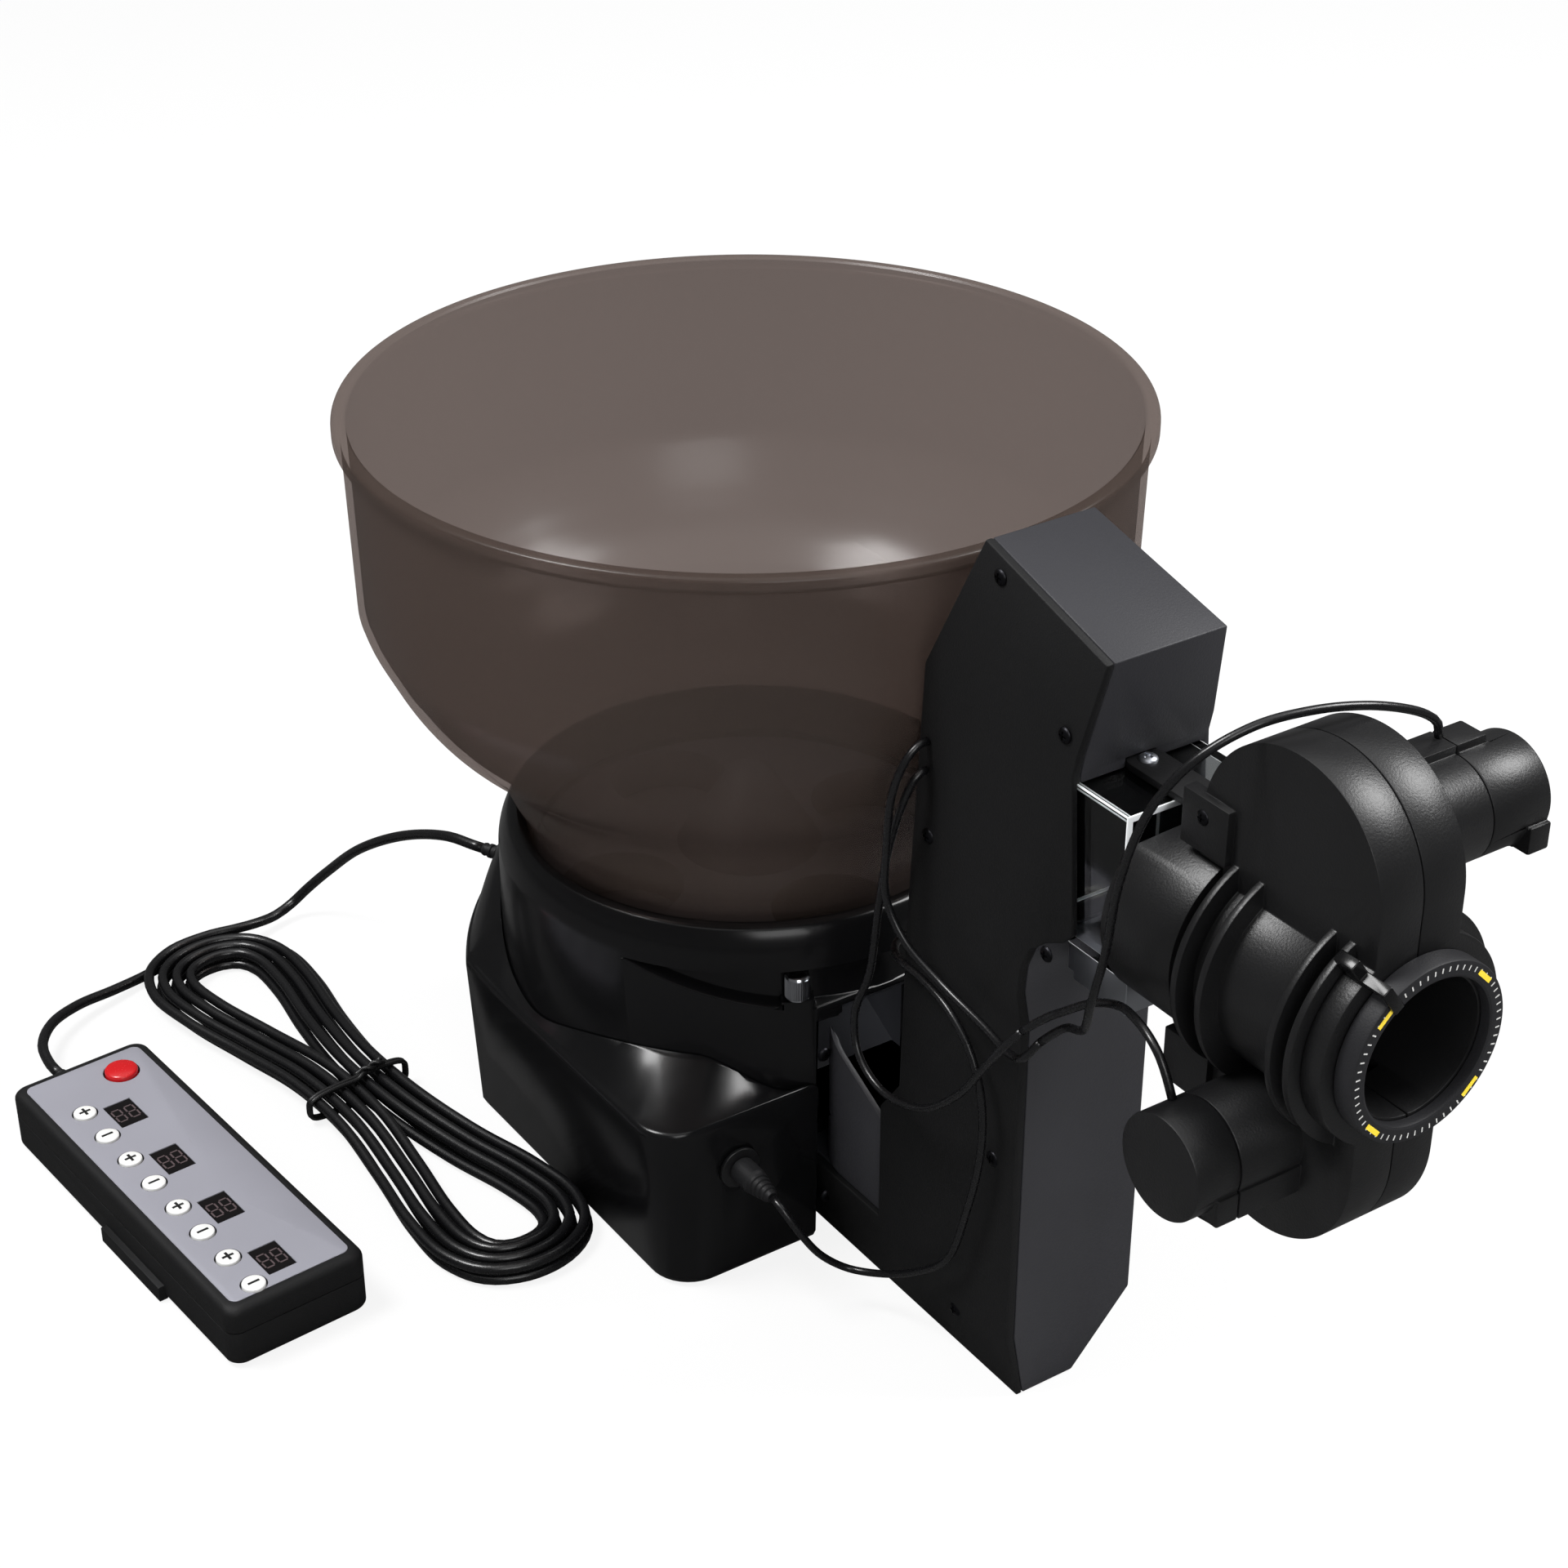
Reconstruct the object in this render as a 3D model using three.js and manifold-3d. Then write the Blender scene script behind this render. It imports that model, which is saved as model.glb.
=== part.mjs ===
// A table tennis practice robot: a round hopper on a base, a lift duct, an oscillating
// launch head with two driven wheels, and a wired controller with its hank of cable.
// Millimetres, +Z up, the floor at Z = 0 under the hopper's axis, launching towards -Y.

import * as THREE from "three";
import { mergeVertices } from "three/addons/utils/BufferGeometryUtils.js";
import Module from "manifold-3d";

const wasm = await Module();
wasm.setup();

// Clearances and counts shared by the whole machine.
const seat = 0.3;
const running = 0.5;
const overrun = 2;
const weld = 0.001;
const wayRadius = 21.5;
const bowlSides = 32;
const roundSides = 20;
const smallSides = 10;
const cornerSteps = 3;
const bite = 1;
const beyond = 400;
const clearShare = 0.45;

// Hopper: a smoked bowl on a neck that stands in the base's collar.
const hopper = {
  rimRadius: 135.5,
  rimTop: 281,
  lipHeight: 5,
  wall: 2.2,
  topRadius: 132.8,
  sideRadius: 131.3,
  sideBottom: 215,
  ledgeRadius: 101.5,
  ledgeBottom: 168,
  ledgeStep: 1.8,
  neckRadius: 78.6,
  neckTop: 134,
  neckBottom: 114,
};
const bowlShares = [[0.22, 0.15], [0.4, 0.27], [0.61, 0.46], [0.8, 0.69], [0.94, 0.88]];
const throatShares = [[0.26, 0.22], [0.45, 0.5], [0.75, 0.82]];

// Base: a lower shell with a lobe at its front left, and an upper shell with the collar.
const base = {
  wall: 2.4,
  footRound: 100,
  footSide: 86.5,
  footFront: 84,
  ridgeRound: 103,
  ridgeSide: 92,
  ridgeFront: 85,
  corner: 15,
  edge: 3,
  lobeHeight: 67,
  backHeight: 76,
  seamRadius: 89.4,
  seamBack: 106,
  seamLeft: 81,
  seamFront: 62,
  seatBottom: 50,
  ledgeTop: 113.7,
  ledgeInner: 77.9,
  plate: 2.6,
  steps: 38,
};
const shoulderShares = { out: 0.45, lobeRise: 0.4, backRise: 0.78, edge: 0.5 };
const seamTurns = {
  backEnd: 120,
  leftStart: 170,
  leftEnd: 225,
  frontStart: 250,
  frontEnd: 290,
  rightEnd: 330,
};
const upper = {
  radius: 89,
  wall: 2.6,
  wallTop: 112,
  rollTop: 129,
  throat: 79.2,
  throatWall: 2.4,
  throatBottom: 95,
  deckFront: 97,
  deckBack: 113,
  deckStart: -42,
  deckInner: 84,
  front: -84.5,
};
const rollShares = [[0, 0], [0.02, 0.35], [0.16, 0.68], [0.44, 0.96], [0.72, 1], [0.93, 0.88], [1, 0.66]];
const hollowShares = [[0.76, 0.55], [0.6, 0.8], [0.4, 0.72], [0.27, 0.1]];
const backingShares = [[0.05, 0.06], [0.25, 0.6], [0.7, 0.82]];
const recess = { half: 28, back: -67, wall: 2.2, top: 91.3, wayHalf: 20.5, wayBottom: 46 };
const pad = { radius: 7, height: 1.5, side: 58, front: -56, back: 62 };
const jack = {
  x: -61,
  z: 46,
  radius: 5.5,
  bore: 2.9,
  depth: 10,
  length: 14,
  flange: 7.5,
  flangeThick: 1.5,
};
const plug = {
  radius: 4.6,
  pin: 2.4,
  pinLength: 8,
  barrel: 9,
  relief: 10,
  reliefStart: 4,
  reliefEnd: 2,
};
const board = {
  thick: 1.6,
  half: 38,
  front: 24,
  back: 74,
  stand: 4,
  post: 3,
  inset: 6,
  chip: 9,
  chipHigh: 4,
};

// Feed: a floor with an exit, a pocketed rotor above it and a geared motor below.
const feed = {
  floorRadius: 86,
  floorFront: -82,
  floorThick: 2.6,
  exitReach: 53,
  rotorRadius: 77.4,
  rotorHeight: 16,
  pockets: 4,
  coneRadius: 26,
  coneTop: 142,
  coneTip: 6,
  lift: 0.8,
  shaft: 3,
  shaftLength: 13,
  motorRadius: 18,
  motorLength: 45,
  boreDepth: 12,
  chuteWall: 2.2,
  chuteBack: -30,
  chuteFront: -64.4,
  chuteHalf: 21.5,
  chuteLow: 46,
  chuteHigh: 66,
};
const pot = {
  y: -92,
  outer: 23.6,
  inner: 21.5,
  backTop: 92,
  frontTop: 68,
  wayHalf: 20.5,
  wayBottom: 44,
  top: 91,
};
const screw = {
  x: -33.5,
  y: -80,
  radius: 4.3,
  height: 9.4,
  stem: 1.8,
  stemLength: 5,
  boss: 6,
  bossTop: 101,
};

// Duct: a flat box of two halves, with a boot below, a notch in front and a hood on top.
const duct = {
  half: 25.5,
  wall: 2.2,
  topHalf: 20,
  leanStart: 250,
  bootLeft: -20,
  bootRight: 3,
  bootTop: 25,
  footBack: -67.3,
  footTop: 30,
  backLow: -117,
  passHalf: 20.5,
  passTop: 74,
  stepLow: 76,
  stepHigh: 90,
  backStep: -127,
  backMid: -129,
  backMidZ: 154,
  backHigh: -135,
  chamferLow: 249,
  crownBack: -155,
  crownTop: 296,
  hoodFront: -213,
  hoodTop: 281,
  hoodLip: -205,
  hoodLipZ: 243,
  mouthFront: -209,
  mouthLow: 192,
  lipOut: -205,
  lipZ: 187.5,
  notchOut: -197,
  notchOutZ: 183,
  notchFlare: -190,
  notchFlareZ: 177,
  notchIn: -186,
  notchInZ: 168,
  notchTop: -185,
  notchTopZ: 158,
  front: -188,
  frontTop: 147,
  slopeBack: -119,
  slopeHigh: 29,
  slopeLow: 21,
  splitFoot: -17.3,
  splitSide: -22.3,
};
const lift = {
  y: -178.8,
  drum: 5.1,
  belt: 1.1,
  low: 40,
  high: 136,
  half: 11,
  axle: 2,
  boss: 5,
  bossLength: 5,
  endGap: 1.2,
};
const guide = { thick: 2, low: 192, high: 242, back: -135.5, front: -187, steps: 10 };

// Clear box between the duct's mouth and the head, and the swing drive under it.
const box = { half: 23, wall: 2.2, back: -190, front: -227, bottom: 187, top: 240 };
const swing = {
  y: -208,
  relief: 30.5,
  ear: 6.4,
  earThick: 2.4,
  earFront: -242.8,
  earPad: 5,
  pin: 2.2,
  pinLength: 6,
  topPin: 2,
  boreDepth: 7,
  motorHalf: 12.5,
  motorBack: -195.3,
  motorFront: -219.5,
  motorBottom: 165,
  motorTop: 183.2,
  footHalf: 10,
  footBack: -189.7,
  footTop: 175.5,
  recessBack: -195,
  recessBottom: 161,
};

// Head: a launch tube split lengthways, two wheel housings, two motors and the dial.
const head = {
  z: 209,
  socketRear: -228.5,
  socketFront: -258,
  socketRadius: 32,
  spigotRadius: 25,
  spigotLength: 10,
  rear: -258.6,
  front: -318,
  tubeRadius: 29.5,
  flangeRadius: 36,
  flangeThick: 2.4,
  collarRadius: 32,
  collarStart: -310.7,
  seamX: -1,
  left: -16,
  right: 14,
  wall: 2.5,
  lobeY: -283.5,
  lobeRadius: 34.5,
  chamber: 31,
  innerTube: 24,
};
const flangePlaces = [-263, -273, -301, -308];
const wheel = {
  reach: 41,
  radius: 21.4,
  hub: 16,
  half: 7.5,
  sideRoom: 1,
  slotHalf: 18,
  shaft: 1.5,
  shaftRun: 5.5,
  hole: 2.6,
  holeReach: 9.5,
};
const holePlaces = [0, 60, 120, 180, 240, 300];
const motor = {
  radius: 13.3,
  length: 34,
  cover: 16,
  leftSleeve: 22,
  leftReach: 37.5,
  rightSleeve: 29,
  rightReach: 51,
  wall: 2.2,
  boreRoom: 0.5,
};
const conduit = { inner: 0.5, outer: 10.5, low: 8, high: 18.5, reach: 40.5 };
const rib = { inner: -7, outer: -16, low: -5, high: -14, reach: 30 };
const hook = { start: 43, end: 51, inner: -10.5, outer: -17, low: -4, high: -12.5 };
const lug = { rear: -243.5, front: -262, out: 2.5, in: 2.5, start: 31, end: 48 };
const dial = { outer: 27.5, inner: 22.3, thick: 6.7, spigot: 24.5, spigotLength: 3 };
const clip = { half: 1.8, back: -311, end: 40, arm: 2.2, grip: 24.8, thick: 1.6, angle: 126 };

// Controller: a flat case on the floor beside the base, turned a little.
const control = {
  x: -207,
  y: 47,
  turn: 4.5,
  width: 53,
  length: 160,
  height: 24,
  split: 14,
  wall: 2,
  edge: 3,
  corner: 5,
  tabLong: 42,
  tabWide: 2.4,
  tabHigh: 6,
  tabY: -12,
};
const key = {
  x: -12,
  inset: 31,
  lastInset: 8.6,
  count: 8,
  radius: 4.1,
  stand: 1.1,
  stem: 2,
  travel: 0.8,
  rim: 0.55,
  rimThick: 1.3,
};
const redKey = {
  x: 10.3,
  inset: 16,
  radius: 6,
  stand: 2.4,
  stem: 2.6,
  travel: 1.5,
  rim: 1,
  rimThick: 1.3,
};
const windowSize = { x: -0.4, inset: 39.7, lastInset: 16.8, count: 4, wide: 10.6, long: 15 };
const controlBoard = {
  half: 21,
  gap: 8,
  top: 14.4,
  thick: 1.6,
  post: 3,
  postX: 16,
  postInset: 20,
};
const relief = {
  z: 9.5,
  radius: 3.6,
  tip: 2.6,
  length: 16,
  flange: 4.8,
  flangeThick: 1.5,
  deep: 6,
};
const baseRelief = { x: -43.5, y: 93.4, z: 70, turn: 115 };
const gland = { neck: 3.4, flange: 5, flangeThick: 1.5, deep: 6, length: 15.8, tip: 2.6 };

// Cable: its thickness, the hank's size, and the routes of its free stretches.
const cable = { radius: 2, sides: 8, rest: 0.3 };
const lead = { radius: 1.3, sides: 8 };
const cordSteps = {
  upperInner: 14,
  upperOuter: 12,
  lowerInner: 14,
  lowerOuter: 7,
  plug: 15,
  controller: 8,
  base: 10,
};
const hank = {
  x: -125,
  y: 76,
  turn: 4.6,
  reach: 128,
  waist: 18.6,
  swell: 50,
  pitch: 5.4,
  layer: 4.9,
  lift: 1.5,
  liftFull: 17,
  liftEnd: 49,
  start: 97.5,
  count: 169,
  steps: 24,
  sides: 6,
  quarter: 0.25,
  nudge: 0.001,
  gapSteps: 6,
};
const tie = { half: 20.4, low: 1.3, high: 11.2, thick: 1, width: 2.4, tail: 9 };
const controllerRoute = [
  [-214.56, 143, 9.5],
  [-215.16, 150.68, 9.5],
  [-213, 164, 9.8],
  [-204, 177, 9],
  [-190, 186, 7],
  [-174, 191.5, 4.5],
  [-160, 196.2, 2.8],
  [-152.5, 198.9, 2.3],
  [-148.06, 200.39, 2.3],
];
const baseRoute = [
  [-122.12, 202.48, 7.2],
  [-118, 201.8, 7.2],
  [-107, 202.2, 6.2],
  [-97, 205, 5],
  [-89, 206.5, 7],
  [-83, 204, 13],
  [-77, 194, 25],
  [-71, 175, 43],
  [-63, 150, 59],
  [-56.6, 125, 69],
  [-52.4, 112.5, 70],
  [-50.3, 108, 70],
];
const upperLeadInner = [
  [-25.9, -138, 224],
  [-28.4, -138, 223.9],
  [-31.8, -138, 221.9],
  [-34.6, -137.4, 217.6],
  [-37, -135.4, 207],
  [-37.5, -134, 188],
  [-38, -135, 171],
  [-36, -143, 158],
  [-33, -157, 150],
  [-32.4, -178, 146],
  [-34.4, -193.5, 145.6],
  [-36.1, -202.3, 149.4],
  [-35.3, -206.43, 153.25],
  [-33.16, -206.76, 156.63],
];
const upperLeadOuter = [
  [-32.92, -206.77, 157.01],
  [-30.91, -207.09, 160.17],
  [-30.4, -214, 164.8],
  [-33, -223, 170.2],
  [-37.5, -231, 177.4],
  [-41.5, -237.5, 190.5],
  [-43, -244, 212],
  [-44, -249, 238],
  [-40.5, -255, 262],
  [-32, -262, 278],
  [-18, -268, 286.5],
  [-2, -272, 288],
  [14, -275, 286],
  [28, -276.5, 281.5],
  [36.5, -277, 277.2],
  [41, -277, 273.2],
  [42, -277, 268.8],
];
const lowerLeadInner = [
  [-25.9, -138, 214],
  [-28, -138, 213.9],
  [-30.5, -137.9, 212],
  [-32.2, -137.2, 208.2],
  [-33, -133.2, 197],
  [-33, -128, 180],
  [-33.5, -125, 160],
  [-34.5, -122, 134],
  [-37, -118, 118],
  [-38.5, -122.5, 105],
  [-39, -136, 99],
  [-38.5, -156, 104],
  [-38.8, -175, 120.5],
  [-40, -188, 138],
  [-40.7, -196.6, 150.2],
  [-39.61, -202.19, 156.51],
  [-37.21, -202.73, 159.69],
];
const lowerLeadOuter = [
  [-36.94, -202.77, 160.05],
  [-34.69, -203.29, 163.03],
  [-33.6, -209.5, 167.2],
  [-34.3, -219, 175.4],
  [-36, -233, 186.6],
  [-38, -246, 193.5],
  [-41.5, -257, 196.5],
  [-43.3, -264.5, 196],
  [-44, -270, 192.9],
  [-44, -273.4, 188],
  [-44, -276.21, 182.58],
];
const plugRoute = [
  [-61, -106.4, 46],
  [-61, -111, 45],
  [-57, -117, 36],
  [-49, -118, 24],
  [-40, -121, 16.5],
  [-34, -132, 19],
  [-31.5, -147, 29],
  [-31, -163, 45],
  [-31, -172, 70],
  [-31, -178, 98],
  [-31, -177, 118],
  [-31, -170, 132],
  [-30.5, -158, 140],
  [-29.5, -142, 142.5],
  [-28.5, -129, 142],
  [-24, -121.5, 141.4],
  [-17, -117.8, 140.6],
  [-10, -118, 140],
  [-5.5, -121, 140],
  [-4, -125, 140],
  [-4, -128.2, 140],
];

// Solids

// A closed geometry as a solid with its faces pointing out.
function solid(geometry) {
  const open = geometry.clone();
  open.deleteAttribute("normal");
  open.deleteAttribute("uv");
  const merged = mergeVertices(open, weld);
  const index = merged.index.array;
  const kept = [];
  for (let i = 0; i < index.length; i += 3) {
    const [a, b, c] = [index[i], index[i + 1], index[i + 2]];
    if (a !== b && b !== c && c !== a) kept.push(a, b, c);
  }
  const vertProperties = new Float32Array(merged.attributes.position.array);
  const made = (order) =>
    new wasm.Manifold(new wasm.Mesh({ numProp: 3, vertProperties, triVerts: new Uint32Array(order) }));
  const first = made(kept);
  return first.volume() >= 0 ? first : made(kept.reverse());
}

function join(first, ...rest) {
  return rest.reduce((whole, piece) => whole.add(piece), first);
}

function cut(first, ...rest) {
  return rest.reduce((whole, piece) => whole.subtract(piece), first);
}

function block(x0, x1, y0, y1, z0, z1) {
  const geometry = new THREE.BoxGeometry(Math.abs(x1 - x0), Math.abs(y1 - y0), Math.abs(z1 - z0));
  geometry.translate((x0 + x1) / 2, (y0 + y1) / 2, (z0 + z1) / 2);
  return solid(geometry);
}

function cone(radiusLow, radiusHigh, low, high, sides) {
  const geometry = new THREE.CylinderGeometry(radiusHigh, radiusLow, high - low, sides);
  geometry.translate(0, (low + high) / 2, 0);
  return geometry;
}

function rodZ(radius, z0, z1, x, y, sides = roundSides) {
  const geometry = cone(radius, radius, Math.min(z0, z1), Math.max(z0, z1), sides);
  geometry.rotateX(Math.PI / 2);
  geometry.translate(x, y, 0);
  return solid(geometry);
}

function rodY(radius, y0, y1, x, z, sides = roundSides) {
  const geometry = cone(radius, radius, Math.min(y0, y1), Math.max(y0, y1), sides);
  geometry.translate(x, 0, z);
  return solid(geometry);
}

function rodX(radius, x0, x1, y, z, sides = roundSides) {
  const geometry = cone(radius, radius, Math.min(-x0, -x1), Math.max(-x0, -x1), sides);
  geometry.rotateZ(Math.PI / 2);
  geometry.translate(0, y, z);
  return solid(geometry);
}

// A prism of an outline in Y and Z, in X and Z, or in X and Y.
function prism(points, depth) {
  const shape = new THREE.Shape(points.map(([a, b]) => new THREE.Vector2(a, b)));
  return new THREE.ExtrudeGeometry(shape, { depth, bevelEnabled: false });
}

function prismX(points, x0, x1) {
  const geometry = prism(points, x1 - x0);
  geometry.rotateX(Math.PI / 2);
  geometry.rotateZ(Math.PI / 2);
  geometry.translate(x0, 0, 0);
  return solid(geometry);
}

function prismY(points, y0, y1) {
  const geometry = prism(points, y1 - y0);
  geometry.rotateX(Math.PI / 2);
  geometry.translate(0, y1, 0);
  return solid(geometry);
}

function prismZ(points, z0, z1) {
  const geometry = prism(points, z1 - z0);
  geometry.translate(0, 0, z0);
  return solid(geometry);
}

// A closed profile of radius and height turned about the Z axis.
function revolve(profile, sides) {
  const points = [...profile, profile[0]].map(([r, z]) => new THREE.Vector2(r, z));
  const geometry = new THREE.LatheGeometry(points, sides);
  geometry.rotateX(Math.PI / 2);
  return solid(geometry);
}

// A skin through rings of equal count, closed at both ends by fans.
function loft(rings) {
  const count = rings[0].length;
  const places = rings.flat().flatMap((p) => [p.x, p.y, p.z]);
  const middle = (ring) => ring.reduce((sum, p) => sum.add(p), new THREE.Vector3()).divideScalar(count);
  const low = middle(rings[0]);
  const high = middle(rings[rings.length - 1]);
  places.push(low.x, low.y, low.z, high.x, high.y, high.z);
  const lowIndex = rings.length * count;
  const index = [];
  for (let k = 0; k < count; k += 1) {
    const next = (k + 1) % count;
    index.push(lowIndex, next, k);
    index.push(lowIndex + 1, lowIndex - count + k, lowIndex - count + next);
    for (let r = 0; r + 1 < rings.length; r += 1) {
      const a = r * count + k;
      const b = r * count + next;
      index.push(a, b, b + count, a, b + count, a + count);
    }
  }
  const geometry = new THREE.BufferGeometry();
  geometry.setAttribute("position", new THREE.Float32BufferAttribute(places, 3));
  geometry.setIndex(index);
  return solid(geometry);
}

// A round cable along a hand-chosen route, at a few diameters a step.
function cord(route, { radius, sides }, steps) {
  const curve = new THREE.CatmullRomCurve3(route.map((p) => new THREE.Vector3(...p)), false, "centripetal");
  const section = new THREE.Shape();
  for (let k = 0; k < sides; k += 1) {
    const angle = (2 * Math.PI * k) / sides;
    const place = [radius * Math.cos(angle), radius * Math.sin(angle)];
    if (k === 0) section.moveTo(...place);
    else section.lineTo(...place);
  }
  section.closePath();
  return solid(new THREE.ExtrudeGeometry(section, { steps, extrudePath: curve, bevelEnabled: false }));
}

const group = new THREE.Group();

// Adds one sub-part with its colour, roughness and metalness.
function add(name, shape, [color, roughness, metalness], parent = group) {
  const { vertProperties, triVerts } = shape.getMesh();
  const indexed = new THREE.BufferGeometry();
  indexed.setAttribute("position", new THREE.BufferAttribute(new Float32Array(vertProperties), 3));
  indexed.setIndex(new THREE.BufferAttribute(new Uint32Array(triVerts), 1));
  const geometry = indexed.toNonIndexed();
  geometry.computeVertexNormals();
  const clear = name === "hopper_bowl" || name === "clear_box";
  const material = new THREE.MeshStandardMaterial({ color, roughness, metalness, transparent: clear });
  if (clear) material.opacity = clearShare;
  const mesh = new THREE.Mesh(geometry, material);
  mesh.name = name;
  parent.add(mesh);
}

// Finishes
const glossBlack = [0x121214, 0.25, 0];
const satinBlack = [0x1c1c1f, 0.45, 0];
const charcoal = [0x2a2a2e, 0.5, 0];
const smoke = [0x4a4744, 0.2, 0];
const clearPlastic = [0xe8eef0, 0.1, 0];
const greyPlastic = [0x9a9aa0, 0.5, 0];
const innerPlastic = [0x3c3f45, 0.6, 0];
const steel = [0xb9bcc2, 0.3, 1];
const rubber = [0x1b1b1b, 0.9, 0];
const green = [0x1f5a38, 0.6, 0];
const white = [0xf0f0f0, 0.4, 0];
const red = [0xe01515, 0.35, 0];

// Hopper bowl: one wall from the rim down to the end of the neck.
function hopperBowl() {
  const h = hopper;
  const bowl = bowlShares.map(([out, up]) => [
    h.ledgeRadius + out * (h.sideRadius - h.ledgeRadius),
    h.ledgeBottom + up * (h.sideBottom - h.ledgeBottom),
  ]);
  const underLedge = h.ledgeRadius - h.ledgeStep;
  const throat = throatShares.map(([out, up]) => [
    h.neckRadius + out * (underLedge - h.neckRadius),
    h.neckTop + up * (h.ledgeBottom - h.neckTop),
  ]);
  const body = [
    [h.neckRadius, h.neckTop],
    ...throat,
    [underLedge, h.ledgeBottom],
    [h.ledgeRadius, h.ledgeBottom + h.ledgeStep],
    ...bowl,
    [h.sideRadius, h.sideBottom],
    [h.topRadius, h.rimTop - h.lipHeight],
  ];
  const rim = [
    [h.rimRadius, h.rimTop - h.lipHeight],
    [h.rimRadius, h.rimTop],
    [h.topRadius - h.wall, h.rimTop],
  ];
  const inner = body.filter((_, i) => i % 2 === 0).map(([r, z]) => [r - h.wall, z + h.wall / 2]).reverse();
  const outer = [[h.neckRadius - h.wall, h.neckBottom], [h.neckRadius, h.neckBottom], ...body, ...rim];
  return revolve([...outer, ...inner.slice(1)], bowlSides);
}

// Base lower shell: rings that follow the outline, the ridge and the seam.
function baseOutline(round, side, front, rounded = base.corner) {
  const backLeft = Math.PI - Math.acos(side / round);
  const frontRight = -Math.asin(front / round);
  const path = new THREE.Path();
  path.absarc(0, 0, round, backLeft, frontRight, true);
  path.lineTo(rounded - side, -front);
  path.absarc(rounded - side, rounded - front, rounded, -Math.PI / 2, -Math.PI, true);
  path.closePath();
  return path.getSpacedPoints(base.steps).slice(0, base.steps);
}

function aroundTurn(point) {
  return (THREE.MathUtils.radToDeg(Math.atan2(point.y, point.x)) + 360) % 360;
}

// How far a turn lies towards the front left, from 0 at the back to 1 along the lobe.
function lobeShareAt(turn) {
  const t = seamTurns;
  const start = THREE.MathUtils.smoothstep(turn, t.backEnd, t.leftStart);
  return start * (1 - THREE.MathUtils.smoothstep(turn, t.frontEnd, t.rightEnd));
}

function seamHeight(turn) {
  const t = seamTurns;
  const left = THREE.MathUtils.lerp(base.seamBack, base.seamLeft, lobeShareAt(turn));
  const down = THREE.MathUtils.smoothstep(turn, t.leftEnd, t.frontStart);
  const up = THREE.MathUtils.smoothstep(turn, t.frontEnd, t.rightEnd);
  return left - down * (1 - up) * (base.seamLeft - base.seamFront);
}

function lowerSkin(inset, bottom) {
  const b = base;
  const foot = (more) => baseOutline(b.footRound - more, b.footSide - more, b.footFront - more);
  const ridge = (more) => baseOutline(b.ridgeRound - more, b.ridgeSide - more, b.ridgeFront - more);
  const flat = (points, z) => points.map((p) => new THREE.Vector3(p.x, p.y, z));
  const edge = ridge(inset);
  const turns = edge.map(aroundTurn);
  const tops = turns.map((turn) =>
    THREE.MathUtils.lerp(b.backHeight, b.lobeHeight, lobeShareAt(turn)) - inset);
  const seam = edge.map((p, i) => {
    const spot = new THREE.Vector3(p.x, p.y, 0).setLength(b.seamRadius - overrun);
    return spot.setZ(seamHeight(turns[i]) - inset);
  });
  const shoulder = edge.map((p, i) => {
    const s = shoulderShares;
    const rise = THREE.MathUtils.lerp(s.backRise, s.lobeRise, lobeShareAt(turns[i]));
    const spot = new THREE.Vector3(p.x, p.y, 0).lerp(seam[i].clone().setZ(0), s.out);
    return spot.setZ(tops[i] + rise * (seam[i].z - tops[i]));
  });
  const under = edge.map((p, i) => new THREE.Vector3(p.x, p.y, tops[i] - b.edge));
  const rim = ridge(inset + b.edge * shoulderShares.edge);
  const over = rim.map((p, i) => new THREE.Vector3(p.x, p.y, tops[i]));
  const start = [flat(foot(inset + b.edge / 2), bottom), flat(foot(inset), b.edge)];
  return loft([...start, under, over, shoulder, seam]);
}

function recessBlock(half, back, low, high) {
  return block(-half, half, -base.ridgeFront - overrun, back, low, high);
}

function wayBlock() {
  return block(
    -recess.wayHalf,
    recess.wayHalf,
    recess.back - overrun,
    recess.back + recess.wall + overrun,
    recess.wayBottom,
    upper.deckBack,
  );
}

function flatOutline(points) {
  return points.map((p) => [p.x, p.y]);
}

function baseLowerShell() {
  const b = base;
  const foot = baseOutline(b.footRound - b.wall, b.footSide - b.wall, b.footFront - b.wall);
  const skin = lowerSkin(0, 0);
  const hollow = lowerSkin(b.wall, 0).add(prismZ(flatOutline(foot), -overrun, b.edge));
  const walls = recessBlock(recess.half + recess.wall, recess.back + recess.wall, 0, b.seatBottom);
  return cut(
    cut(skin, hollow).add(walls.intersect(skin)),
    rodZ(b.seamRadius, b.seatBottom, b.seamBack + overrun, 0, 0, bowlSides),
    recessBlock(recess.half, recess.back, -overrun, b.seamBack),
    wayBlock(),
    rodY(jack.radius + seat, -b.ridgeFront - overrun, jack.length - b.footFront, jack.x, jack.z, smallSides),
    baseReliefRod(gland.neck + seat, -gland.deep, gland.flangeThick),
  );
}

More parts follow.
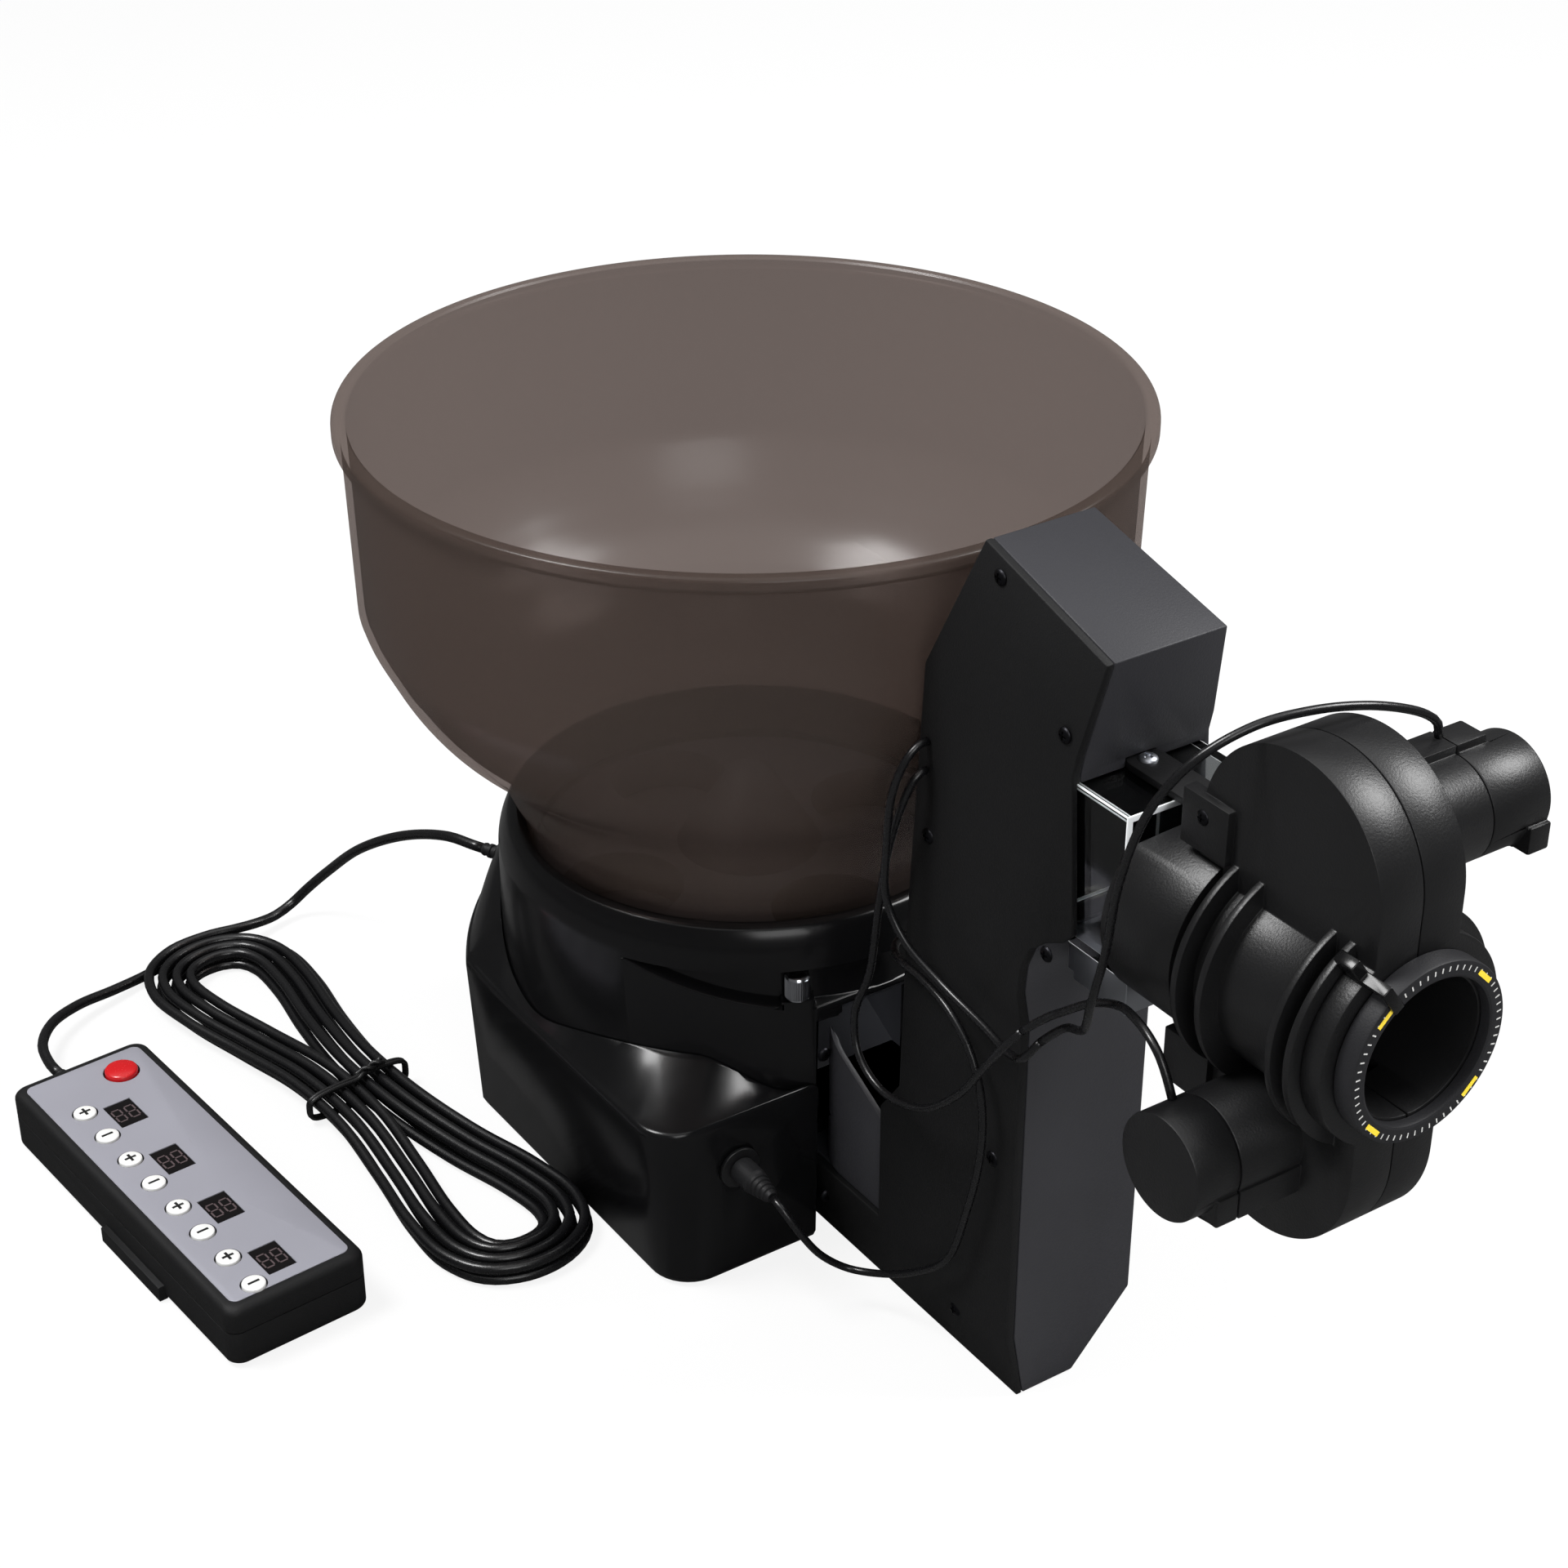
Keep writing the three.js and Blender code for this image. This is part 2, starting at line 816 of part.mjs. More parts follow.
// Base upper shell: the collar with its rolled edge, the sloping deck and the recess walls.
function baseUpperShell() {
  const u = upper;
  const bottom = base.seatBottom + seat;
  const across = (shares) => shares.map(([inward, up]) => [
    u.radius - inward * (u.radius - u.throat),
    u.wallTop + up * (u.rollTop - u.wallTop),
  ]);
  const throatOut = u.throat + u.throatWall;
  const ring = revolve([
    [u.radius, bottom],
    ...across(rollShares),
    [u.throat, u.throatBottom],
    [throatOut, u.throatBottom],
    ...across(hollowShares),
    [u.radius - u.wall, bottom],
  ], bowlSides);
  const ledge = revolve([
    [base.ledgeInner, base.ledgeTop - u.throatWall],
    [throatOut - seat, base.ledgeTop - u.throatWall],
    [throatOut - seat, base.ledgeTop],
    [base.ledgeInner, base.ledgeTop],
  ], bowlSides);
  const reach = base.ridgeRound;
  const slope = (u.deckBack - u.deckFront) / (u.deckStart - u.front);
  const farFront = u.front - base.corner;
  const farLow = u.deckFront - base.corner * slope;
  const overDeck = [[u.deckStart, u.deckBack], [farFront, farLow], [farFront, u.deckBack]];
  const clearing = prismX(overDeck, -reach, reach)
    .subtract(rodZ(u.deckInner, u.throatBottom - base.corner, u.deckBack + overrun, 0, 0, bowlSides));
  const frontOnly = block(-reach, reach, -reach, u.deckStart, bottom, u.rollTop);
  const backing = revolve([
    [throatOut - seat, u.throatBottom],
    [u.deckInner, u.throatBottom],
    [u.deckInner, u.deckBack],
    ...across(backingShares),
  ], bowlSides).intersect(frontOnly);
  const deckBand = rodZ(u.radius, bottom, u.rollTop, 0, 0, bowlSides)
    .subtract(rodZ(throatOut - seat, bottom - overrun, u.rollTop + overrun, 0, 0, bowlSides));
  const deck = prismX([
    [u.deckStart, u.deckBack],
    [u.front, u.deckFront],
    [u.front, u.deckFront - u.wall],
    [u.deckStart, u.deckBack - u.wall],
  ], -reach, reach);
  const boss = rodZ(screw.boss, u.deckFront - u.wall, screw.bossTop, screw.x, screw.y, smallSides);
  const walls = recessBlock(recess.half + recess.wall, recess.back + recess.wall, bottom, recess.top)
    .subtract(recessBlock(recess.half, recess.back, bottom - overrun, recess.top + overrun))
    .intersect(rodZ(u.radius, bottom, recess.top, 0, 0, bowlSides));
  const cleared = cut(ring, clearing, recessBlock(recess.half, recess.back, bottom - overrun, recess.top));
  const holder = join(cleared, ledge, backing, deck.add(boss).intersect(deckBand), walls);
  return cut(
    holder,
    block(-reach, reach, -reach, u.front, bottom - overrun, u.deckBack),
    wayBlock(),
    rodZ(screw.stem + seat, bottom, u.deckBack, screw.x, screw.y, smallSides),
    rodZ(screw.radius + running, screw.bossTop, u.deckBack, screw.x, screw.y, smallSides)
      .subtract(rodZ(throatOut, bottom, u.rollTop, 0, 0, bowlSides)),
  );
}

function padPlaces() {
  const p = pad;
  return [[-p.side, p.front], [p.side, p.front], [-p.side, p.back], [p.side, p.back]];
}

function baseBottomPlate() {
  const b = base;
  const gap = b.wall + seat;
  const room = recess.wall + seat;
  const outline = flatOutline(baseOutline(b.footRound - gap, b.footSide - gap, b.footFront - gap));
  const sinkings = padPlaces().map(([x, y]) =>
    rodZ(pad.radius + seat, -overrun, pad.height + seat, x, y, smallSides));
  return cut(
    prismZ(outline, 0, b.plate),
    recessBlock(recess.half + room, recess.back + room, -overrun, b.plate + overrun),
    ...sinkings,
  );
}

function screwShape() {
  const low = screw.bossTop + seat;
  const head = rodZ(screw.radius, low, low + screw.height, screw.x, screw.y, smallSides);
  return head.add(rodZ(screw.stem, low - screw.stemLength, low + overrun, screw.x, screw.y, smallSides));
}

// Low-voltage socket and plug, and the base cable's gland.
const jackFace = -base.ridgeFront - seat - jack.flangeThick;
const plugEnd = jackFace - seat - plug.barrel - plug.relief;

function jackShape() {
  const inner = jackFace + jack.flangeThick;
  return cut(
    rodY(jack.flange, jackFace, inner, jack.x, jack.z, smallSides)
      .add(rodY(jack.radius, jackFace, inner + jack.length, jack.x, jack.z, smallSides)),
    rodY(jack.bore, jackFace - overrun, jackFace + jack.depth, jack.x, jack.z, smallSides),
  );
}

function plugShape() {
  const start = jackFace - seat;
  const from = new THREE.Vector3(jack.x, start - plug.barrel + seat, jack.z);
  const to = new THREE.Vector3(jack.x, plugEnd, jack.z);
  return join(
    rodY(plug.radius, start - plug.barrel, start, jack.x, jack.z, smallSides),
    rodY(plug.pin, start - overrun, start + plug.pinLength, jack.x, jack.z, smallSides),
    taper(plug.reliefStart, plug.reliefEnd, from, to),
  );
}

// A round rod or taper between two places.
function taper(startRadius, endRadius, from, to) {
  const along = to.clone().sub(from);
  const geometry = cone(startRadius, endRadius, 0, along.length(), smallSides);
  geometry.applyQuaternion(new THREE.Quaternion().setFromUnitVectors(
    new THREE.Vector3(0, 1, 0),
    along.clone().normalize(),
  ));
  geometry.translate(from.x, from.y, from.z);
  return solid(geometry);
}

function baseReliefRod(radius, start, end, endRadius = radius) {
  const turn = THREE.MathUtils.degToRad(baseRelief.turn);
  const way = new THREE.Vector3(Math.cos(turn), Math.sin(turn), 0);
  const root = new THREE.Vector3(baseRelief.x, baseRelief.y, baseRelief.z);
  const place = (distance) => root.clone().addScaledVector(way, distance);
  return taper(radius, endRadius, place(start), place(end));
}

function baseReliefShape() {
  return join(
    baseReliefRod(gland.neck, -gland.deep, seat + overrun),
    baseReliefRod(gland.flange, seat, seat + gland.flangeThick),
    baseReliefRod(gland.neck, seat, gland.length, gland.tip),
  );
}

// Feed: the floor with its chute, the rotor, the motor and the pot.
const floorLow = recess.top + seat;
const floorTop = floorLow + feed.floorThick;
const rotorLow = floorTop + feed.lift;
const motorTop = floorLow - seat;

function feedFloor() {
  const f = feed;
  const y = (place) => [place, floorLow];
  const inner = f.chuteBack - f.chuteWall;
  const outside = prismX([
    [f.chuteBack, floorLow + overrun / 2],
    [f.chuteFront, floorLow + overrun / 2],
    [f.chuteFront, f.chuteLow - f.chuteWall],
    [f.chuteBack, f.chuteHigh - f.chuteWall],
  ], -f.chuteHalf - f.chuteWall, f.chuteHalf + f.chuteWall);
  const inside = prismX([
    y(inner),
    y(f.chuteFront - overrun),
    [f.chuteFront - overrun, f.chuteLow],
    [inner, f.chuteHigh],
  ], -f.chuteHalf, f.chuteHalf);
  const far = f.floorRadius + overrun;
  const disc = rodZ(f.floorRadius, floorLow, floorTop, 0, 0, bowlSides)
    .subtract(block(-far, far, -far, f.floorFront, floorLow - overrun, rotorLow));
  return cut(
    cut(outside, inside).add(disc),
    rodZ(wayRadius, floorLow - overrun, rotorLow, 0, -f.exitReach, roundSides),
    rodZ(f.shaft + running, floorLow - overrun, rotorLow, 0, 0, smallSides),
  );
}

function feedRotor() {
  const f = feed;
  const top = rotorLow + f.rotorHeight;
  const cap = revolve([
    [0, top - overrun],
    [f.coneRadius, top - overrun],
    [f.coneRadius, top],
    [f.coneTip, f.coneTop],
    [0, f.coneTop],
  ], roundSides);
  const body = join(
    rodZ(f.rotorRadius, rotorLow, top, 0, 0, bowlSides),
    cap,
    rodZ(f.shaft, rotorLow - f.shaftLength, rotorLow + overrun, 0, 0, smallSides),
  );
  const pockets = [];
  for (let k = 0; k < f.pockets; k += 1) {
    const angle = (2 * Math.PI * k) / f.pockets;
    const place = [f.exitReach * Math.cos(angle), f.exitReach * Math.sin(angle)];
    pockets.push(rodZ(wayRadius, rotorLow - overrun, top + overrun, ...place, roundSides));
  }
  return cut(body, ...pockets);
}

function feedMotor() {
  const f = feed;
  return cut(
    rodZ(f.motorRadius, motorTop - f.motorLength, motorTop, 0, 0, roundSides),
    rodZ(f.shaft + running, motorTop - f.boreDepth, motorTop + overrun, 0, 0, smallSides),
  );
}

function feedPot() {
  const p = pot;
  const low = duct.footTop + seat;
  const rear = p.y + p.outer;
  const front = p.y - p.outer;
  const slope = (p.backTop - p.frontTop) / (rear - front);
  const above = prismX([
    [rear + p.outer, p.backTop + p.outer * slope],
    [rear + p.outer, p.backTop + p.outer],
    [front - p.outer, p.backTop + p.outer],
    [front - p.outer, p.frontTop - p.outer * slope],
  ], -p.outer - overrun, p.outer + overrun);
  return cut(
    rodZ(p.outer, low, p.top, 0, p.y, roundSides).add(block(-p.outer, p.outer, p.y, front, low, p.top)),
    rodZ(p.inner, low - overrun, p.top + overrun, 0, p.y, roundSides),
    above,
    block(-p.wayHalf, p.wayHalf, p.y, rear + overrun, p.wayBottom, p.top + overrun),
    block(-p.inner, p.inner, front - overrun, p.y, low - overrun, p.top + overrun),
  );
}

function circuitBoard() {
  const b = board;
  const low = base.plate + seat;
  const top = low + b.stand + b.thick;
  const postX = b.half - b.inset;
  const posts = [b.front + b.inset, b.back - b.inset].flatMap((y) =>
    [-postX, postX].map((x) => rodZ(b.post, low, low + b.stand + seat, x, y, smallSides)));
  const chips = [-b.chip, b.chip * 2].map((x) => {
    const y = (b.front + b.back) / 2;
    return block(x, x + b.chip, y, y + b.chip, top - seat, top + b.chipHigh);
  });
  return join(block(-b.half, b.half, b.front, b.back, low + b.stand, top), ...posts, ...chips);
}

// Duct: an outline seen from the side and one seen from the front, with the walls' inner faces.
const ductSide = [
  [duct.footBack, 0],
  [duct.front, 0],
  [duct.front, duct.frontTop],
  [duct.notchTop, duct.notchTopZ],
  [duct.notchIn, duct.notchInZ],
  [duct.notchFlare, duct.notchFlareZ],
  [duct.notchOut, duct.notchOutZ],
  [duct.lipOut, duct.lipZ],
  [duct.mouthFront, duct.mouthLow],
  [duct.hoodLip, duct.hoodLipZ],
  [duct.hoodFront, duct.hoodTop],
  [duct.crownBack, duct.crownTop],
  [duct.backHigh, duct.chamferLow],
  [duct.backMid, duct.backMidZ],
  [duct.backStep, duct.stepHigh],
  [duct.backLow, duct.stepLow],
  [duct.backLow, duct.footTop],
  [duct.footBack, duct.footTop],
];
const ductFront = [
  [duct.bootLeft, 0],
  [duct.bootRight, 0],
  [duct.half, duct.bootTop],
  [duct.half, duct.leanStart],
  [duct.topHalf, duct.crownTop],
  [-duct.topHalf, duct.crownTop],
  [-duct.half, duct.leanStart],
  [-duct.half, duct.bootTop],
];

// An outline moved inwards by an equal distance along all its sides.
function inset(points, distance) {
  const spots = points.map(([a, b]) => new THREE.Vector2(a, b));
  const turned = THREE.ShapeUtils.area(spots) > 0 ? 1 : -1;
  const count = spots.length;
  return spots.map((spot, i) => {
    const before = spot.clone().sub(spots[(i + count - 1) % count]).normalize();
    const after = spots[(i + 1) % count].clone().sub(spot).normalize();
    const normals = [before, after].map((way) => new THREE.Vector2(-way.y, way.x).multiplyScalar(turned));
    const middle = normals[0].clone().add(normals[1]).normalize();
    const moved = spot.clone().addScaledVector(middle, distance / middle.dot(normals[0]));
    return [moved.x, moved.y];
  });
}

function ductShape(sideInset, frontInset) {
  const d = duct;
  const depth = prismX(inset(ductSide, sideInset), -d.half, d.half);
  return depth.intersect(prismY(inset(ductFront, frontInset), d.hoodFront - overrun, d.footBack + overrun));
}

function ductPieces() {
  const d = duct;
  const floorBack = d.slopeBack;
  const cavityRoom = prismX([
    [floorBack, d.slopeHigh],
    [d.front, d.slopeLow],
    [d.hoodFront, d.slopeLow],
    [d.hoodFront, d.crownTop],
    [floorBack, d.crownTop],
  ], -d.half, d.half);
  const cavity = ductShape(d.wall, d.wall).intersect(cavityRoom);
  const under = prismX([
    [d.footBack - d.wall, -overrun],
    [d.front + d.wall, -overrun],
    [d.front + d.wall, d.slopeLow - d.wall],
    [floorBack, d.slopeHigh - d.wall],
    [d.footBack - d.wall, d.slopeHigh - d.wall],
  ], -d.half, d.half).intersect(prismY(lowered(inset(ductFront, d.wall)), d.front, d.footBack));
  const boss = (z, side) => {
    const face = d.half - d.wall;
    return rodX(lift.boss, side * (face + d.wall / 2), side * (face - lift.bossLength), lift.y, z, smallSides)
      .subtract(rodX(lift.axle + running, side * face, 0, lift.y, z, smallSides));
  };
  const mouthHalf = box.half + seat;
  const recessHalf = d.half - d.wall;
  const shell = cut(
    cut(ductShape(0, 0), cavity, under),
    block(-mouthHalf, mouthHalf, -beyond, box.back + seat, box.bottom - seat, box.top + seat),
    block(-recessHalf, recessHalf, -beyond, swing.recessBack, swing.recessBottom, box.bottom),
    block(-d.passHalf, d.passHalf, d.slopeBack - d.wall, d.backLow + overrun, d.footTop, d.passTop),
    rodZ(swing.ear + running, box.top, box.top + swing.earThick + running + seat, 0, swing.y, smallSides),
  );
  const split = (shift) => prismY([
    [-d.half - overrun, -overrun],
    [d.splitFoot + shift, -overrun],
    [d.splitSide + shift, d.bootTop],
    [d.splitSide + shift, d.leanStart],
    [d.splitFoot + shift, d.crownTop + overrun],
    [-d.half - overrun, d.crownTop + overrun],
  ], d.hoodFront - overrun, d.footBack + overrun);
  return [
    join(shell.subtract(split(seat)), boss(lift.low, 1), boss(lift.high, 1)),
    join(shell.intersect(split(0)), boss(lift.low, -1), boss(lift.high, -1)),
  ];
}

function lowered(points) {
  return points.map(([x, z]) => [x, z < duct.bootTop - duct.wall * 2 ? z - duct.wall - overrun : z]);
}

// Lift: a drum, an idler and the belt round them, standing along the front wall.
function stadium(radius) {
  const path = new THREE.Path();
  path.absarc(lift.y, lift.high, radius, 0, Math.PI, false);
  path.absarc(lift.y, lift.low, radius, Math.PI, 2 * Math.PI, false);
  return path.getPoints(smallSides / 2).map((p) => [p.x, p.y]).slice(0, -1);
}

function liftBelt() {
  const inner = lift.drum + seat;
  return prismX(stadium(inner + lift.belt), -lift.half, lift.half)
    .subtract(prismX(stadium(inner), -lift.half - overrun, lift.half + overrun));
}

function liftDrum(z) {
  const end = duct.half - duct.wall - lift.endGap;
  return rodX(lift.drum, -lift.half, lift.half, lift.y, z, smallSides)
    .add(rodX(lift.axle, -end, end, lift.y, z, smallSides));
}

function turnGuide() {
  const g = guide;
  const arc = (room) => {
    const points = [];
    for (let k = 0; k <= g.steps; k += 1) {
      const angle = (Math.PI / 2) * (k / g.steps);
      points.push([
        g.front + (g.back - g.front - room) * Math.cos(angle),
        g.low + (g.high - g.low - room) * Math.sin(angle),
      ]);
    }
    return points;
  };
  const half = duct.half - duct.wall - seat;
  return prismX([...arc(0), ...arc(g.thick).reverse()], -half, half);
}

// Clear box and swing drive.
function clearBox() {
  const b = box;
  return cut(
    block(-b.half, b.half, b.back, b.front, b.bottom, b.top),
    block(
      b.wall - b.half,
      b.half - b.wall,
      b.back + overrun,
      b.front - overrun,
      b.bottom + b.wall,
      b.top - b.wall,
    ),
    rodZ(swing.pin + seat, b.top - b.wall - overrun, b.top + overrun, 0, swing.y, smallSides),
  );
}

function swingMotor() {
  const s = swing;
  return cut(
    block(-s.motorHalf, s.motorHalf, s.motorFront, s.motorBack, s.motorBottom, s.motorTop)
      .add(block(-s.footHalf, s.footHalf, s.motorBack - overrun, s.footBack, s.motorBottom, s.footTop)),
    rodZ(s.pin + running, s.motorTop - s.boreDepth, s.motorTop + overrun, 0, s.y, smallSides),
  );
}

function launchSocket() {
  const s = swing;
  const h = head;
  const tube = rodY(h.socketRadius, h.socketRear, h.socketFront, 0, h.z)
    .add(rodY(h.spigotRadius, h.socketFront - h.spigotLength, h.socketFront + overrun, 0, h.z));
  const relieved = cut(
    tube,
    rodY(wayRadius, h.socketRear + overrun, h.socketFront - h.spigotLength - overrun, 0, h.z),
    rodZ(s.relief, h.z - h.socketRadius - overrun, h.z + h.socketRadius + overrun, 0, s.y, bowlSides),
  );
  const ear = (low, high, front) => join(
    rodZ(s.ear, low, high, 0, s.y, smallSides),
    block(-s.ear, s.ear, s.y, front, low, high),
  );
  const topLow = box.top + seat;
  const lowEarLow = s.motorTop + running;
  const padBack = s.y - s.relief;
  return join(
    relieved,
    ear(topLow, topLow + s.earThick, s.earFront),
    block(-s.ear, s.ear, padBack, s.earFront, topLow - s.earPad, topLow + s.earThick),
    ear(lowEarLow, lowEarLow + s.earThick, s.earFront)
      .subtract(rodY(wayRadius, 0, head.front, 0, h.z)),
    rodZ(s.pin, topLow - s.topPin, topLow + s.earThick, 0, s.y, smallSides),
    rodZ(s.pin, lowEarLow - s.pinLength, lowEarLow + s.earThick, 0, s.y, smallSides),
  );
}

// Head: two half shells with the wheels, the motors and the dial.
function capsule(radius, x0, x1) {
  const path = new THREE.Path();
  path.absarc(head.lobeY, head.z + wheel.reach, radius, 0, Math.PI, false);
  path.absarc(head.lobeY, head.z - wheel.reach, radius, Math.PI, 2 * Math.PI, false);
  return prismX(path.getPoints(smallSides).map((p) => [p.x, p.y]).slice(0, -1), x0, x1);
}

// Side 1 is the upper wheel with its motor to the right, side -1 the lower one to the left.
function wheelZ(side) {
  return head.z + side * wheel.reach;
}

function motorFace(side) {
  return side > 0 ? head.right : head.left;
}

function coverReach(side) {
  return side > 0 ? motor.rightReach : motor.leftReach;
}

function sleeveReach(side) {
  return side > 0 ? motor.rightSleeve : motor.leftSleeve;
}

function strip(shape, side, from, to) {
  const face = motorFace(side);
  const z = wheelZ(side);
  return block(
    face + side * from,
    face + side * to,
    head.lobeY + shape.inner,
    head.lobeY + shape.outer,
    z + shape.low,
    z + shape.high,
  );
}

function motorCover(side) {
  const face = motorFace(side);
  const end = face + side * coverReach(side);
  const tube = rodX(motor.cover, face - side * bite, end, head.lobeY, wheelZ(side));
  if (side < 0) return tube.add(strip(rib, side, -seat, rib.reach));
  return join(tube, strip(conduit, side, -seat, conduit.reach), strip(hook, side, hook.start, hook.end));
}

function motorRoom(side) {
  const face = motorFace(side);
  const end = face + side * (coverReach(side) - motor.wall);
  return rodX(motor.radius + seat, face, end, head.lobeY, wheelZ(side));
}

function slab(x0, x1) {
  return block(x0, x1, -beyond, 0, -beyond, beyond);
}

function motorCap(side) {
  const face = motorFace(side);
  const far = face + side * (coverReach(side) + overrun);
  const near = face + side * (sleeveReach(side) + seat);
  return motorCover(side).intersect(slab(near, far)).subtract(motorRoom(side));
}

function headShells() {
  const h = head;
  const w = wheel;
  const flanges = flangePlaces.map((y) => rodY(h.flangeRadius, y, y - h.flangeThick, 0, h.z));
  const lugBlock = (x0, x1, side) =>
    block(x0, x1, lug.rear, lug.front, h.z + side * lug.start, h.z + side * lug.end);
  const lugs = [1, -1].flatMap((side) => [
    lugBlock(h.left - lug.out, h.left + lug.in, side),
    lugBlock(h.right - lug.in, h.right + lug.out, side),
  ]);
  const shape = join(
    rodY(h.tubeRadius, h.rear, h.front, 0, h.z),
    ...flanges,
    capsule(h.lobeRadius, h.left, h.right),
    rodY(h.collarRadius, h.collarStart, h.front, 0, h.z),
    rodY(dial.spigot, h.front + overrun, h.front - seat - dial.spigotLength, 0, h.z),
    ...lugs,
  );
  const chamber = capsule(h.chamber, h.left + h.wall, h.right - h.wall)
    .subtract(rodY(h.innerTube, h.socketRear, h.front - overrun, 0, h.z));
  const slot = block(
    h.seamX - w.half - w.sideRoom,
    h.seamX + w.half + w.sideRoom,
    h.lobeY - w.slotHalf,
    h.lobeY + w.slotHalf,
    h.z - h.innerTube - overrun,
    h.z + h.innerTube + overrun,
  );
  const cored = cut(
    shape,
    rodY(wayRadius, h.socketRear, -beyond, 0, h.z),
    rodY(h.spigotRadius + running, h.socketFront - h.spigotLength - running, h.socketRear, 0, h.z),
    rodY(h.socketRadius + running, h.rear, h.socketRear + overrun, 0, h.z),
    chamber,
    slot,
  );
  return [-1, 1].map((side) => {
    const face = motorFace(side);
    const room = w.shaft + running;
    const sleeve = motorCover(side).intersect(slab(face - side * bite, face + side * sleeveReach(side)));
    const z = wheelZ(side);
    return cut(
      cored.intersect(slab(h.seamX + side * (seat / 2), side * beyond)).add(sleeve),
      motorRoom(side),
      rodX(room, face - side * h.wall * 2, face + side * bite, h.lobeY, z, smallSides),
    );
  });
}

function wheelHub(side) {
  const w = wheel;
  const z = wheelZ(side);
  const holes = holePlaces.map((degrees) => {
    const angle = THREE.MathUtils.degToRad(degrees);
    const y = head.lobeY + w.holeReach * Math.cos(angle);
    const far = w.half + overrun;
    return rodX(w.hole, head.seamX - far, head.seamX + far, y, z + w.holeReach * Math.sin(angle), smallSides);
  });
  const end = motorFace(side) + side * w.shaftRun;
  return join(
    cut(rodX(w.hub, head.seamX - w.half, head.seamX + w.half, head.lobeY, z), ...holes),
    rodX(w.shaft, head.seamX, end, head.lobeY, z, smallSides),
  );
}

function wheelTyre(side) {
  const w = wheel;
  const z = wheelZ(side);
  const far = w.half + overrun;
  return rodX(w.radius, head.seamX - w.half, head.seamX + w.half, head.lobeY, z)
    .subtract(rodX(w.hub + seat, head.seamX - far, head.seamX + far, head.lobeY, z));
}

function wheelMotor(side) {
  const start = motorFace(side) + side * seat;
  const z = wheelZ(side);
  const bore = wheel.shaft + motor.boreRoom;
  const end = start + side * (wheel.shaftRun + bite);
  return rodX(motor.radius, start, start + side * motor.length, head.lobeY, z)
    .subtract(rodX(bore, start - side * bite, end, head.lobeY, z, smallSides));
}

function dialRing() {
  const rear = head.front - seat;
  return cut(
    rodY(dial.outer, rear, rear - dial.thick, 0, head.z),
    rodY(dial.inner, rear + overrun, rear - dial.thick - overrun, 0, head.z),
    rodY(dial.spigot + seat, rear + overrun, rear - dial.spigotLength - seat, 0, head.z),
  );
}

// A block by its reach from the launch axis, its width across and its place along.
function radialBlock(near, far, half, y0, y1) {
  const geometry = new THREE.BoxGeometry(far - near, Math.abs(y1 - y0), half * 2);
  geometry.translate((near + far) / 2, (y0 + y1) / 2, 0);
  geometry.rotateY(-THREE.MathUtils.degToRad(clip.angle));
  geometry.translate(0, 0, head.z);
  return solid(geometry);
}

function dialClip() {
  const near = head.collarRadius + seat;
  const face = head.front - seat - dial.thick - seat;
  return join(
    radialBlock(near, clip.end, clip.half, clip.back, head.front),
    radialBlock(near, near + clip.arm, clip.half, clip.back, face - clip.thick),
    radialBlock(clip.grip, near + clip.arm, clip.half, face, face - clip.thick),
  );
}

// Controller: two case halves, a board, the buttons and the cable's gland.
function caseRing(shrink, z) {
  const c = control;
  const half = c.width / 2 - shrink;
  const reach = c.length / 2 - shrink;
  const path = new THREE.Path();
  const r = c.corner;
  path.absarc(half - r, reach - r, r, 0, Math.PI / 2, false);
  path.absarc(r - half, reach - r, r, Math.PI / 2, Math.PI, false);
  path.absarc(r - half, r - reach, r, Math.PI, (3 * Math.PI) / 2, false);
  path.absarc(half - r, r - reach, r, (3 * Math.PI) / 2, 2 * Math.PI, false);
  return path.getPoints(cornerSteps).slice(0, -1).map((p) => new THREE.Vector3(p.x, p.y, z));
}

// Places along the case, evenly spaced between their insets from its two ends.
function spread(shape) {
  const first = control.length / 2 - shape.inset;
  const last = shape.lastInset - control.length / 2;
  const places = [];
  for (let k = 0; k < shape.count; k += 1) places.push(first + ((last - first) * k) / (shape.count - 1));
  return places;
}

function reliefRod(radius, start, end, endRadius = radius) {
  const face = control.length / 2;
  const place = (y) => new THREE.Vector3(0, face + y, relief.z);
  return taper(radius, endRadius, place(start), place(end));
}

function lowerCase() {
  const c = control;
  const outside = loft([caseRing(c.edge, 0), caseRing(0, c.edge), caseRing(0, c.split)]);
  const inside = loft([
    caseRing(c.edge + c.wall / 2, c.wall),
    caseRing(c.wall, c.edge + c.wall / 2),
    caseRing(c.wall, c.split + overrun),
  ]);
  const step = block(
    -c.width / 2 - c.tabWide,
    c.wall / 2 - c.width / 2,
    c.tabY - c.tabLong / 2,
    c.tabY + c.tabLong / 2,
    0,
    c.tabHigh,
  );
  return cut(outside, inside).add(step).subtract(reliefRod(relief.radius + seat, -c.wall * 2, overrun));
}

